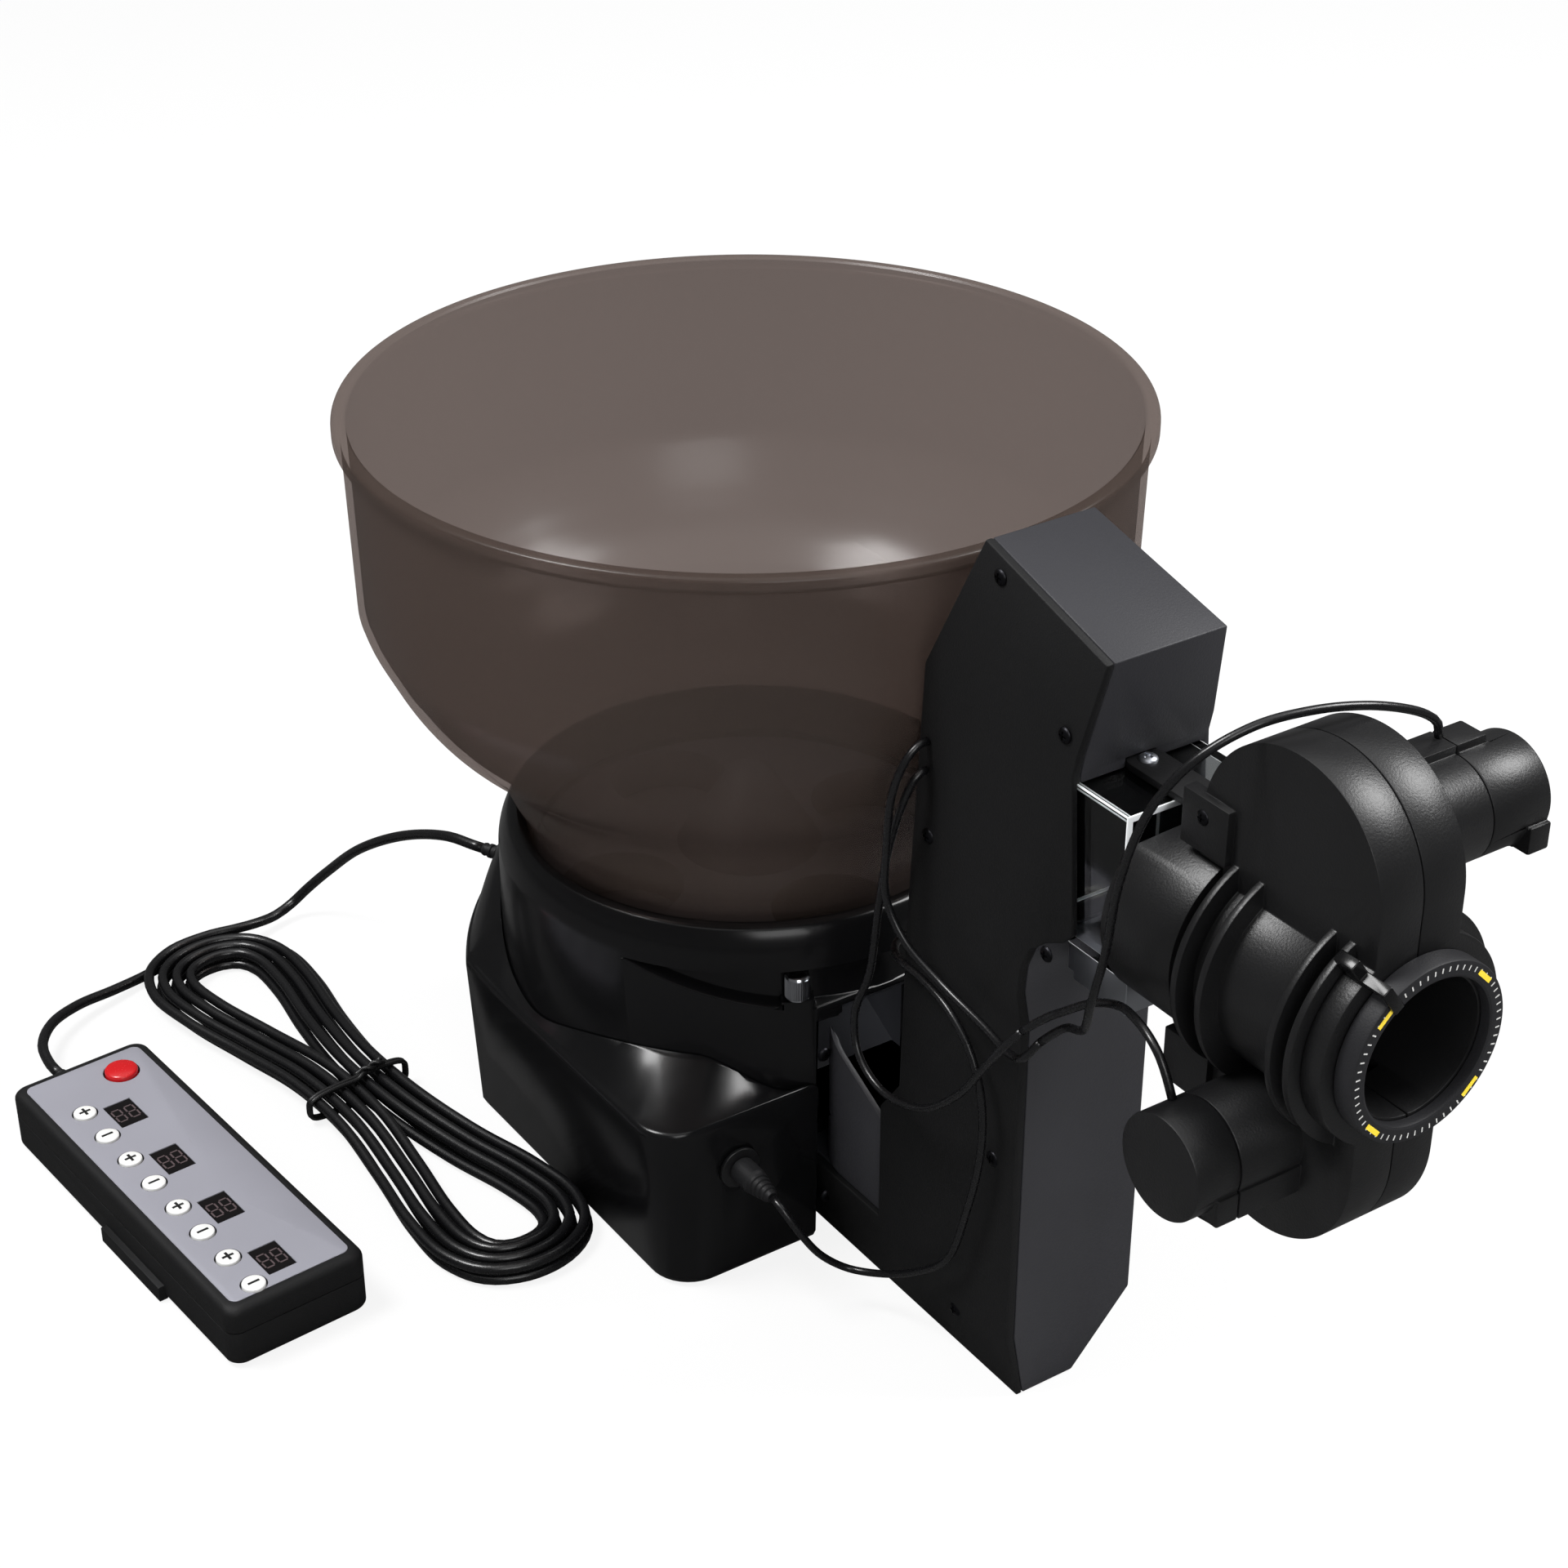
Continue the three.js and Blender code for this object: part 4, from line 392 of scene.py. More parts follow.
def fitted(piece, name, body, finish, nodes=(), edge=0.0, smooth=32):
    """Rounds and shades the edges, gives the finish and puts the piece in its nodes' place."""
    work = bmesh.new()
    work.from_mesh(piece.data)
    bmesh.ops.remove_doubles(work, verts=work.verts, dist=0.002 * mm)
    bmesh.ops.dissolve_limit(work, angle_limit=math.radians(0.3), verts=work.verts, edges=work.edges)
    work.to_mesh(piece.data)
    work.free()
    if edge:
        rounding = piece.modifiers.new("rounding", "BEVEL")
        rounding.width = edge * mm
        rounding.segments = 2
        rounding.limit_method = "ANGLE"
        rounding.angle_limit = math.radians(38)
        rounding.use_clamp_overlap = False
        plain_mesh(piece)
    piece.name = name
    piece.data.name = name
    for polygon in piece.data.polygons:
        polygon.use_smooth = True
    piece.data.set_sharp_from_angle(angle=math.radians(smooth))
    piece.data.materials.clear()
    piece.data.materials.append(finish)
    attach(piece, body)
    if nodes:
        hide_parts(*nodes)
    return piece


# Glossy moulded ABS, polished tool: black, with soft wide highlights and a faint ripple.
gloss_abs = grain_finish("gloss_moulded_abs", "09090a", "0f0f10", 0.16, 0.25, 9, 0.04, 0.3)
# Satin moulded ABS, spark-eroded tool: black, with a fine even texture.
satin_abs = grain_finish("satin_moulded_abs", "101011", "161617", 0.32, 0.42, 0.7, 0.3, 0.45)

base_wall = 2.4
base_foot = (100, 86.5, 84)
base_ridge = (103, 92, 85)
base_corner = 15
base_edge = 3
base_steps = 240
lobe_height, back_height = 67, 76
seam_radius, seam_back, seam_left, seam_front = 89.4, 106, 81, 62
seat_bottom = 50
seat, running = 0.3, 0.5
recess_half, recess_back, recess_wall, recess_top = 28, -67, 2.2, 91.3
way_half, way_bottom = 20.5, 46
deck_back = 113
jack_x, jack_z, jack_radius, jack_length = -61, 46, 5.5, 14
gland_root, gland_turn, gland_radius, gland_deep = (-43.5, 93.4, 70), 115, 3.4, 6
back_rise, lobe_rise, shoulder_share = 0.78, 0.4, 0.45


def equal_steps(path, count):
    """The closed path again, at equal steps along its length."""
    path = [Vector(spot) for spot in path]
    path.append(path[0])
    runs = [(b - a).length for a, b in zip(path, path[1:])]
    step = sum(runs) / count
    spots, passed, k = [], 0.0, 0
    for i in range(count):
        while passed + runs[k] < i * step:
            passed += runs[k]
            k += 1
        spots.append(path[k].lerp(path[k + 1], (i * step - passed) / runs[k]))
    return spots


def base_outline(sizes, shrink, count=base_steps):
    """Round behind, straight at the left and in front, with a rounded corner between."""
    round_, side, front = (size - shrink for size in sizes)
    start = 180 - math.degrees(math.acos(side / round_))
    end = -math.degrees(math.asin(front / round_))
    turns = [math.radians(start + (end - start) * k / 360) for k in range(361)]
    path = [(round_ * math.cos(t), round_ * math.sin(t)) for t in turns]
    for k in range(31):
        turn = math.radians(-90 - 3 * k)
        path.append((base_corner - side + base_corner * math.cos(turn),
                     base_corner - front + base_corner * math.sin(turn)))
    return equal_steps(path, count)


def lobe_share(spot):
    """From 0 at the back to 1 along the lobe at the front left."""
    turn = math.degrees(math.atan2(spot.y, spot.x)) % 360
    return smooth_step(turn, 120, 170) * (1 - smooth_step(turn, 290, 330))


def seam_height(spot):
    turn = math.degrees(math.atan2(spot.y, spot.x)) % 360
    left = seam_back + (seam_left - seam_back) * lobe_share(spot)
    dip = smooth_step(turn, 225, 250) * (1 - smooth_step(turn, 290, 330))
    return left - dip * (seam_left - seam_front)


def base_skin(shrink, bottom):
    foot = base_outline(base_foot, shrink)
    ridge = base_outline(base_ridge, shrink)
    shares = [lobe_share(spot) for spot in ridge]
    tops = [back_height + (lobe_height - back_height) * share - shrink for share in shares]
    rings = [[(*spot, bottom) for spot in base_outline(base_foot, shrink + base_edge / 2)]]
    rings += [[(*spot, base_edge) for spot in foot]]
    for degrees in (0, 22, 45, 67, 90):
        turn = math.radians(degrees)
        inward = base_edge * (1 - math.cos(turn)) / 2
        edge_ring = base_outline(base_ridge, shrink + inward)
        rings.append([(*spot, top - base_edge * (1 - math.sin(turn))) for spot, top in zip(edge_ring, tops)])
    seam = [(spot.normalized() * (seam_radius - 2)).to_3d() for spot in ridge]
    for spot in seam:
        spot.z = seam_height(spot) - shrink
    for k in range(1, 9):
        t = k / 8
        ring = []
        for top_spot, seam_spot, top, share in zip(rings[6], seam, tops, shares):
            rise = back_rise + (lobe_rise - back_rise) * share
            middle = Vector(top_spot).lerp(seam_spot, shoulder_share)
            middle.z = top + rise * (seam_spot.z - top)
            control = middle * 2 - (Vector(top_spot) + seam_spot) / 2
            ring.append(Vector(top_spot).lerp(control, t).lerp(control.lerp(seam_spot, t), t))
        rings.append(ring)
    return loft(rings)


def recess_block(half, back, low, high):
    return block(-half, half, -base_ridge[2] - 2, back, low, high)


def way_block():
    return block(-way_half, way_half, recess_back - 2, recess_back + recess_wall + 2, way_bottom, deck_back)


def cable_exit():
    """The place and the turn of the line on which the cable leaves the base."""
    return Matrix.Translation(Vector(gland_root) * mm) @ Matrix.Rotation(math.radians(gland_turn), 4, "Z")


def relief_bar(radius, start, end):
    """A bar along the line on which the cable leaves the base."""
    made = bar("X", radius, start, end, sides=48)
    made.data.transform(cable_exit())
    return made


base_hollow = joined(
    base_skin(base_wall, 0),
    prism("Z", [tuple(spot) for spot in base_outline(base_foot, base_wall)], -2, base_edge),
)
recess_walls = kept_within(
    recess_block(recess_half + recess_wall, recess_back + recess_wall, 0, seat_bottom), base_skin(0, 0))
base_shell = cut(
    joined(cut(base_skin(0, 0), base_hollow), recess_walls),
    bar("Z", seam_radius, seat_bottom, seam_back + 2, sides=192),
    recess_block(recess_half, recess_back, -2, seam_back),
    way_block(),
    bar("Y", jack_radius + seat, -base_ridge[2] - 2, jack_length - base_foot[2], (jack_x, jack_z)),
    relief_bar(gland_radius + seat, -gland_deep, 1.5),
)
fitted(base_shell, "base_lower_tub", "chassis", gloss_abs, ["base_lower_shell"], edge=0.35)

# The upper shell drops inside the lower one. It carries the rolled collar that the hopper stands in,
# and slopes down to a flat deck in front, with the walls of the recess for the feed pot.
collar_radius, collar_wall, collar_wall_top, roll_top = 89, 2.6, 112, 129
throat_radius, throat_wall, throat_bottom = 79.2, 2.4, 95
ledge_top, ledge_inner = 113.7, 77.9
deck_front, deck_start, deck_inner, shell_front = 97, -42, 84, -84.5
screw_place = (-33.5, -80)
screw_radius, screw_stem, boss_radius, boss_top = 4.3, 1.8, 6, 101
roll_shares = [(0, 0), (0.02, 0.35), (0.16, 0.68), (0.44, 0.96), (0.72, 1), (0.93, 0.88), (1, 0.66)]
hollow_shares = [(0.76, 0.55), (0.6, 0.8), (0.4, 0.72), (0.27, 0.1)]
backing_shares = [(0.05, 0.06), (0.25, 0.6), (0.7, 0.82)]
shell_bottom = seat_bottom + seat
throat_out = throat_radius + throat_wall


def across_collar(shares):
    width, rise = collar_radius - throat_radius, roll_top - collar_wall_top
    return [(collar_radius - inward * width, collar_wall_top + up * rise) for inward, up in shares]


def smooth_profile(points, step):
    return [(spot.x, spot.y) for spot in smooth_route([(*point, 0) for point in points], step)]


def ring_solid(inner, outer, low, high, sides=192):
    return turned_solid([(inner, low), (outer, low), (outer, high), (inner, high)], sides=sides)


collar_ring = turned_solid(
    [(collar_radius, shell_bottom)] + smooth_profile(across_collar(roll_shares), 1.2)
    + [(throat_radius, throat_bottom), (throat_out, throat_bottom)]
    + smooth_profile(across_collar(hollow_shares), 1.2) + [(collar_radius - collar_wall, shell_bottom)],
    sides=192,
)
deck_slope = (deck_back - deck_front) / (deck_start - shell_front)
deck_far = (shell_front - base_corner, deck_front - base_corner * deck_slope)
over_deck = cut(
    prism("X", [(deck_start, deck_back), deck_far, (deck_far[0], deck_back)], -base_ridge[0], base_ridge[0]),
    bar("Z", deck_inner, throat_bottom - base_corner, deck_back + 2, sides=192),
)
reach = base_ridge[0]
collar_backing = kept_within(
    turned_solid([(throat_out - seat, throat_bottom), (deck_inner, throat_bottom), (deck_inner, deck_back)]
                 + across_collar(backing_shares), sides=192),
    block(-reach, reach, -reach, deck_start, shell_bottom, roll_top),
)
deck = joined(
    prism("X", [(deck_start, deck_back), (shell_front, deck_front), (shell_front, deck_front - collar_wall),
                (deck_start, deck_back - collar_wall)], -reach, reach),
    bar("Z", boss_radius, deck_front - collar_wall, boss_top, screw_place, sides=48),
)
deck = kept_within(deck, ring_solid(throat_out - seat, collar_radius, shell_bottom, roll_top))
pot_walls = kept_within(
    cut(recess_block(recess_half + recess_wall, recess_back + recess_wall, shell_bottom, recess_top),
        recess_block(recess_half, recess_back, shell_bottom - 2, recess_top + 2)),
    bar("Z", collar_radius, shell_bottom, recess_top, sides=192),
)
upper_shell = joined(
    cut(collar_ring, over_deck, recess_block(recess_half, recess_back, shell_bottom - 2, recess_top)),
    ring_solid(ledge_inner, throat_out - seat, ledge_top - throat_wall, ledge_top), collar_backing, deck,
    pot_walls,
)
upper_shell = cut(
    upper_shell,
    block(-reach, reach, -reach, shell_front, shell_bottom - 2, deck_back),
    way_block(),
    bar("Z", screw_stem + seat, shell_bottom, deck_back, screw_place, sides=32),
    cut(bar("Z", screw_radius + running, boss_top, deck_back, screw_place, sides=48),
        bar("Z", throat_out, shell_bottom, roll_top, sides=192)),
)
fitted(upper_shell, "base_collar_shell", "chassis", gloss_abs, ["base_upper_shell"], edge=0.7)


# The bottom plate closes the base from below. It is a flat moulding that the pads are stuck to.
# Like every flat-faced piece it keeps its outline from the solid model, with its edges rounded.
def taken(name):
    """A copy of a solid's mesh, in its place."""
    node_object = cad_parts[name]
    data = node_object.data.copy()
    data.transform(node_object.matrix_world)
    made = bpy.data.objects.new("work", data)
    bpy.context.scene.collection.objects.link(made)
    return made


fitted(taken("base_bottom_plate"), "base_floor_plate", "chassis", satin_abs,
       ["base_bottom_plate"], edge=0.3)

# The low-voltage socket and its plug are small turned-looking mouldings in black plastic.
# The plug's barrel is ribbed for grip and ends in a tapered strain relief that the lead leaves.
soft_vinyl = grain_finish("soft_vinyl_moulding", "101011", "19191b", 0.5, 0.62, 0.5, 0.2, 0.3)
jack_face, jack_flange, jack_lip, jack_bore, jack_deep = -86.8, 7.5, 1.5, 2.9, 10
plug_face = jack_face - seat
plug_root = plug_face - 9
socket_shell = cut(
    joined(rod("Y", jack_flange, jack_face, jack_face + jack_lip, (jack_x, jack_z), 0.3),
           rod("Y", jack_radius, jack_face, jack_face + jack_lip + jack_length, (jack_x, jack_z), 0.3)),
    bar("Y", jack_bore, jack_face - 2, jack_face + jack_deep, (jack_x, jack_z)),
)
fitted(socket_shell, "power_socket", "chassis", satin_abs, ["dc_jack"])
plug_profile = [(0, plug_root - 9.9), (1.9, plug_root - 9.9), (2.2, plug_root - 9)]
for k in range(4):
    ridge = plug_root - 8.2 + 2 * k
    plug_profile += [(2.3 + 0.4 * k, ridge), (2.9 + 0.4 * k, ridge + 0.3), (3 + 0.4 * k, ridge + 1.1),
                     (2.5 + 0.4 * k, ridge + 1.4)]
plug_profile += [(4.1, plug_root), (4.6, plug_root + 0.5), (4.6, plug_face - 0.4), (4.3, plug_face),
                 (2.4, plug_face), (2.4, plug_face + 7.6), (2.1, plug_face + 8), (0, plug_face + 8)]
fitted(turned_solid(plug_profile, "Y", (jack_x, jack_z), 64), "power_plug", "chassis", soft_vinyl,
       ["dc_plug"], smooth=25)


# Each gland is one soft moulding: a collar outside the wall and a ribbed sleeve that thins outwards.
# The cable is moulded into it.
def gland_solid(radius, tip, length, deep, flange, flange_at, flange_thick):
    """A ribbed strain relief along Z, with its face at the wall at zero."""
    profile = [(0, -deep), (radius, -deep), (radius, flange_at), (flange, flange_at + 0.2),
               (flange, flange_at + flange_thick - 0.2), (radius, flange_at + flange_thick)]
    ribs = 5
    for k in range(ribs):
        low = 2 + (length - 3.4) * k / ribs
        share = low / length
        wide = radius + (tip - radius) * share
        profile += [(wide, low), (wide, low + 1.1), (wide - 0.55, low + 1.3), (wide - 0.55, low + 2.1)]
    profile += [(tip, length - 0.8), (tip - 0.2, length), (0, length)]
    return turned_solid(profile, sides=64)


base_gland = gland_solid(gland_radius, 2.6, 15.8, gland_deep, 5, seat, 1.5)
base_gland.data.transform(cable_exit() @ Matrix.Rotation(math.radians(90), 4, "Y"))
fitted(base_gland, "base_cable_gland", "chassis", soft_vinyl, ["base_relief"], smooth=25)


# The thumb screw is turned brass, chromed, with a straight-knurled rim. Its stem holds the shells together.
# Its grooves repeat round the head, so they grow from one rule.
def rule_tree(name, inputs):
    """A geometry rule with its named inputs."""
    tree = bpy.data.node_groups.new(name, "GeometryNodeTree")
    for title, kind in inputs:
        tree.interface.new_socket(name=title, in_out="INPUT", socket_type="NodeSocket" + kind)
    tree.interface.new_socket(name="Geometry", in_out="OUTPUT", socket_type="NodeSocketGeometry")
    return tree, tree.nodes.new("NodeGroupInput").outputs


def end_rule(tree, shape, finish):
    real = add_node(tree, "GeometryNodeRealizeInstances", Geometry=shape)
    given = add_node(tree, "GeometryNodeSetMaterial", Geometry=real.outputs[0], Material=finish)
    tree.links.new(given.outputs[0], tree.nodes.new("NodeGroupOutput").inputs[0])


def grown(tree, values, spots=()):
    """A plain mesh that a rule makes from its values, and from points where it asks for them."""
    data = bpy.data.meshes.new("work")
    data.from_pydata([Vector(spot) * mm for spot in spots], [], [])
    made = bpy.data.objects.new("work", data)
    bpy.context.scene.collection.objects.link(made)
    rule = made.modifiers.new("rule", "NODES")
    rule.node_group = tree
    for socket in tree.interface.items_tree:
        if socket.in_out == "INPUT" and socket.name in values:
            rule[socket.identifier] = values[socket.name]
    return plain_mesh(made)


def steel_finish(name, shade, rough):
    made, tree, shader, place = new_finish(name)
    brushed = add_node(tree, "ShaderNodeMapping", Vector=place, Scale=(40, 1, 1))
    lines = add_node(tree, "ShaderNodeTexNoise", Vector=brushed.outputs[0], Scale=120.0, Detail=2.0)
    gloss = add_node(tree, "ShaderNodeMapRange", i0=lines.outputs["Fac"], i3=rough, i4=rough + 0.15)
    tree.links.new(gloss.outputs[0], shader.inputs["Roughness"])
    shader.inputs["Base Color"].default_value = linear(shade)
    shader.inputs["Metallic"].default_value = 1
    return made


chromed_brass = steel_finish("chromed_brass", "c9cbd0", 0.12)
knurl_rule, given = rule_tree("knurled_rim", [
    ("Geometry", "Geometry"), ("Ridges", "Int"), ("Radius", "Float"), ("Depth", "Float"), ("Height", "Float"),
    ("Finish", "Material")])
ring = add_node(knurl_rule, "GeometryNodeMeshCircle", Vertices=given["Ridges"], Radius=given["Radius"])
ridge = add_node(
    knurl_rule, "GeometryNodeMeshCylinder", Vertices=6, Radius=given["Depth"], Depth=given["Height"],
)
row = add_node(knurl_rule, "GeometryNodeInstanceOnPoints", Points=ring.outputs[0], Instance=ridge.outputs[0])
end_rule(knurl_rule, row.outputs[0], given["Finish"])
screw_low = boss_top + seat
knurls = grown(knurl_rule, {"Ridges": 44, "Radius": 4.02 * mm, "Depth": 0.27 * mm, "Height": 7.4 * mm,
                            "Finish": chromed_brass})
knurls.data.transform(Matrix.Translation(Vector((*screw_place, screw_low + 4.7)) * mm))
screw_body = turned_solid(
    [(0, screw_low - 5), (1.5, screw_low - 5), (1.8, screw_low - 4.6), (1.8, screw_low), (3.6, screw_low),
     (4.1, screw_low + 0.5), (4.1, screw_low + 8.6), (3.7, screw_low + 9.2), (3.2, screw_low + 9.4),
     (2.9, screw_low + 9.1), (0, screw_low + 9.1)], "Z", screw_place, 88)
fitted(screw_body, "thumb_screw_head", "screw", chromed_brass, ["thumb_screw"], smooth=25)
fitted(knurls, "thumb_screw_knurl", "screw", chromed_brass, smooth=25)

# The feed floor and the rotor are plain mouldings deep in the base. The rotor has four pockets and a cone
# that spreads what falls on it, and it rests on its motor's shaft.
rotor_abs = grain_finish("plain_moulded_abs", "2b2c30", "34353a", 0.45, 0.6, 0.9, 0.2, 0.3)
fitted(
    taken("feed_floor"), "feed_floor_disc", "chassis", rotor_abs, ["feed_floor"], edge=0.3,
)
floor_top = recess_top + seat + 2.6
rotor_low = floor_top + 0.8
rotor_top = rotor_low + 16
rotor_reach, pocket_radius, cone_top = 53, 21.5, 142
rotor_body = turned_solid(
    [(0, rotor_low - 13), (3, rotor_low - 13), (3, rotor_low), (77, rotor_low), (77.4, rotor_low + 0.6),
     (77.4, rotor_top - 1.5), (75.9, rotor_top), (27.5, rotor_top), (25.6, rotor_top + 0.9),
     (7.5, cone_top - 1.6), (5.6, cone_top - 0.4), (3.2, cone_top), (0, cone_top)], sides=192)
quarter_turns = [(rotor_reach, 0), (0, rotor_reach), (-rotor_reach, 0), (0, -rotor_reach)]
pockets = [bar("Z", pocket_radius, rotor_low - 2, rotor_top + 30, spot, 96) for spot in quarter_turns]
rotor_body = cut(rotor_body, *pockets)
fitted(rotor_body, "feed_pocket_rotor", "rotor", rotor_abs, ["feed_rotor"], edge=0.5)

# The pot under the chute is a short charcoal tube, cut on a slope and open towards the duct.
charcoal_abs = grain_finish("charcoal_moulded_abs", "2a2a2d", "323236", 0.42, 0.56, 0.7, 0.3, 0.3)
pot_y, pot_out, pot_in, pot_low = -92, 23.6, 21.5, 30 + seat
pot_high, slope_back, slope_front = 91, 92, 68
door_half, door_low = 20.5, 44
pot_slope = (slope_back - slope_front) / (2 * pot_out)
pot_over = pot_high + 2
over_pot = prism("X", [
    (pot_y + 2 * pot_out, slope_back + pot_out * pot_slope), (pot_y + 2 * pot_out, slope_back + pot_out),
    (pot_y - 2 * pot_out, slope_back + pot_out), (pot_y - 2 * pot_out, slope_front - pot_out * pot_slope),
], -pot_out - 2, pot_out + 2)
pot_tube = cut(
    joined(bar("Z", pot_out, pot_low, pot_high, (0, pot_y), 128),
           block(-pot_out, pot_out, pot_y - pot_out, pot_y, pot_low, pot_high)),
    bar("Z", pot_in, pot_low - 2, pot_over, (0, pot_y), 128), over_pot,
    block(-door_half, door_half, pot_y, pot_y + pot_out + 2, door_low, pot_over),
    block(-pot_in, pot_in, pot_y - pot_out - 2, pot_y, pot_low - 2, pot_over),
)
fitted(pot_tube, "feed_pot_tube", "chassis", charcoal_abs, ["feed_pot"], edge=0.4)

# The hopper is one smoked see-through moulding: a round bowl with a rolled lip, a ledge and a neck.
# Its wall is a profile swept round the axis by a rule. It stands in the base's collar.
hopper_wall, hopper_neck, hopper_ledge = 2.2, 78.6, 101.5
hopper_side, hopper_top, hopper_rim = 131.3, 132.8, 135.5
neck_bottom, neck_top, ledge_low, side_low, rim_high, lip_height = 114, 134, 168, 215, 281, 5
bowl_shares = [(0.22, 0.15), (0.4, 0.27), (0.61, 0.46), (0.8, 0.69), (0.94, 0.88)]
throat_shares = [(0.26, 0.22), (0.45, 0.5), (0.75, 0.82)]
under_ledge = hopper_ledge - 1.8
throat_curve = smooth_profile(
    [(hopper_neck, neck_top)]
    + [(hopper_neck + out * (under_ledge - hopper_neck), neck_top + up * (ledge_low - neck_top))
       for out, up in throat_shares] + [(under_ledge, ledge_low - 0.6)], 2.2)
bowl_curve = smooth_profile(
    [(hopper_ledge, ledge_low + 1.8)]
    + [(hopper_ledge + out * (hopper_side - hopper_ledge), ledge_low + up * (side_low - ledge_low))
       for out, up in bowl_shares] + [(hopper_side, side_low)], 2.6)
ledge_curve = [(under_ledge + 0.5, ledge_low), (hopper_ledge - 0.3, ledge_low + 1.2)]
skin_curve = throat_curve + ledge_curve + bowl_curve
inner_curve = [(radius - hopper_wall, height + hopper_wall * (0.75 if height < side_low - 20 else 0.3))
               for radius, height in reversed(skin_curve[::2])]
lip_turns = [math.radians(15 * k) for k in range(7)]
lip_curve = [(hopper_top, rim_high - lip_height), (hopper_rim - 0.5, rim_high - lip_height),
             (hopper_rim, rim_high - lip_height + 0.5)]
lip_curve += [(hopper_rim - 1.6 + 1.6 * math.cos(t), rim_high - 1.6 + 1.6 * math.sin(t)) for t in lip_turns]
lip_curve += [(hopper_top - hopper_wall + 0.7, rim_high), (hopper_top - hopper_wall, rim_high - 0.7)]
hopper_profile = (
    [(hopper_neck - hopper_wall, neck_bottom), (hopper_neck, neck_bottom)]
    + skin_curve + lip_curve + inner_curve + [(hopper_neck - hopper_wall, neck_top)]
)


def smoked_finish(name, shade, tint, rough, share):
    """Smoked plastic: each face lets a tinted part of the light straight through and mirrors a little."""
    made, tree, shader, place = new_finish(name)
    ripple = add_node(tree, "ShaderNodeTexNoise", Vector=place, Scale=1000 / 28, Detail=2.0)
    gloss = add_node(tree, "ShaderNodeMapRange", i0=ripple.outputs["Fac"], i3=rough, i4=rough + 0.08)
    tree.links.new(gloss.outputs[0], shader.inputs["Roughness"])
    bump = add_node(tree, "ShaderNodeBump", Height=ripple.outputs["Fac"], Strength=0.03, Distance=0.0005)
    tree.links.new(bump.outputs["Normal"], shader.inputs["Normal"])
    shader.inputs["Base Color"].default_value = linear(shade)
    through = add_node(tree, "ShaderNodeBsdfTransparent", Color=linear(tint))
    both = add_node(tree, "ShaderNodeMixShader", i0=share, i1=through.outputs[0], i2=shader.outputs[0])
    tree.links.new(both.outputs[0], tree.nodes["Material Output"].inputs["Surface"])
    return made


smoked_styrene = smoked_finish("smoked_polystyrene", "554a44", "bfb7b4", 0.2, 0.35)
hopper_ring = 0.1
sweep_rule, given = rule_tree("swept_wall", [
    ("Geometry", "Geometry"), ("Profile", "Object"), ("Steps", "Int"), ("Finish", "Material")])
outline_info = add_node(sweep_rule, "GeometryNodeObjectInfo", Object=given["Profile"])
round_line = add_node(
    sweep_rule, "GeometryNodeCurvePrimitiveCircle", Resolution=given["Steps"], Radius=hopper_ring,
)
swept = add_node(sweep_rule, "GeometryNodeCurveToMesh", Curve=round_line.outputs[0],
                 Profile_Curve=outline_info.outputs["Geometry"])
end_rule(sweep_rule, swept.outputs[0], given["Finish"])
# The sweep measures the profile outwards and downwards from its ring.
line = bpy.data.curves.new("hopper_outline", "CURVE")
line.dimensions = "3D"
run = line.splines.new("POLY")
run.points.add(len(hopper_profile) - 1)
for spot, (radius, height) in zip(run.points, hopper_profile):
    spot.co = (radius * mm - hopper_ring, -height * mm, 0, 1)
run.use_cyclic_u = True
outline_object = bpy.data.objects.new("hopper_outline", line)
bpy.context.scene.collection.objects.link(outline_object)
bowl = grown(sweep_rule, {"Profile": outline_object, "Steps": 192, "Finish": smoked_styrene})
bpy.data.objects.remove(outline_object)
fitted(bowl, "hopper_smoked_bowl", "hopper", smoked_styrene, ["hopper_bowl"], smooth=40)

# The duct is two flat-walled mouldings, a body and a matte black left cover, screwed together.
# The body's charcoal, lighter than the cover, is painted light on its lit faces.
# It stands over a notch in the base. The screws repeat, so they grow from one rule.
def screw_row(name, body, spots, way, radius, height, finish, slot="steel"):
    """Small round-headed cross-slot screws at their places, heads turned out along a way."""
    turn = Vector(way).to_track_quat("Z", "Y").to_euler()
    heads = grown(screw_rule, {"Head radius": radius * mm, "Head height": height * mm, "Turn": tuple(turn),
                               "Finish": finish}, spots)
    return fitted(heads, name, body, finish, smooth=30)


screw_rule, given = rule_tree("cross_slot_screws", [
    ("Geometry", "Geometry"), ("Head radius", "Float"), ("Head height", "Float"), ("Turn", "Vector"),
    ("Finish", "Material")])
head_shape = add_node(
    screw_rule, "GeometryNodeMeshUVSphere", Segments=24, Rings=10, Radius=given["Head radius"],
)
flatness = add_node(screw_rule, "ShaderNodeMath", {"operation": "DIVIDE"}, i0=given["Head height"],
                    i1=given["Head radius"])
scale = add_node(screw_rule, "ShaderNodeCombineXYZ", X=1.0, Y=1.0, Z=flatness.outputs[0])
domed = add_node(screw_rule, "GeometryNodeTransform", Geometry=head_shape.outputs[0], Scale=scale.outputs[0])
long_arm = add_node(screw_rule, "ShaderNodeMath", {"operation": "MULTIPLY"}, i0=given["Head radius"], i1=1.1)
thin_arm = add_node(screw_rule, "ShaderNodeMath", {"operation": "MULTIPLY"}, i0=given["Head radius"], i1=0.26)
slots = []
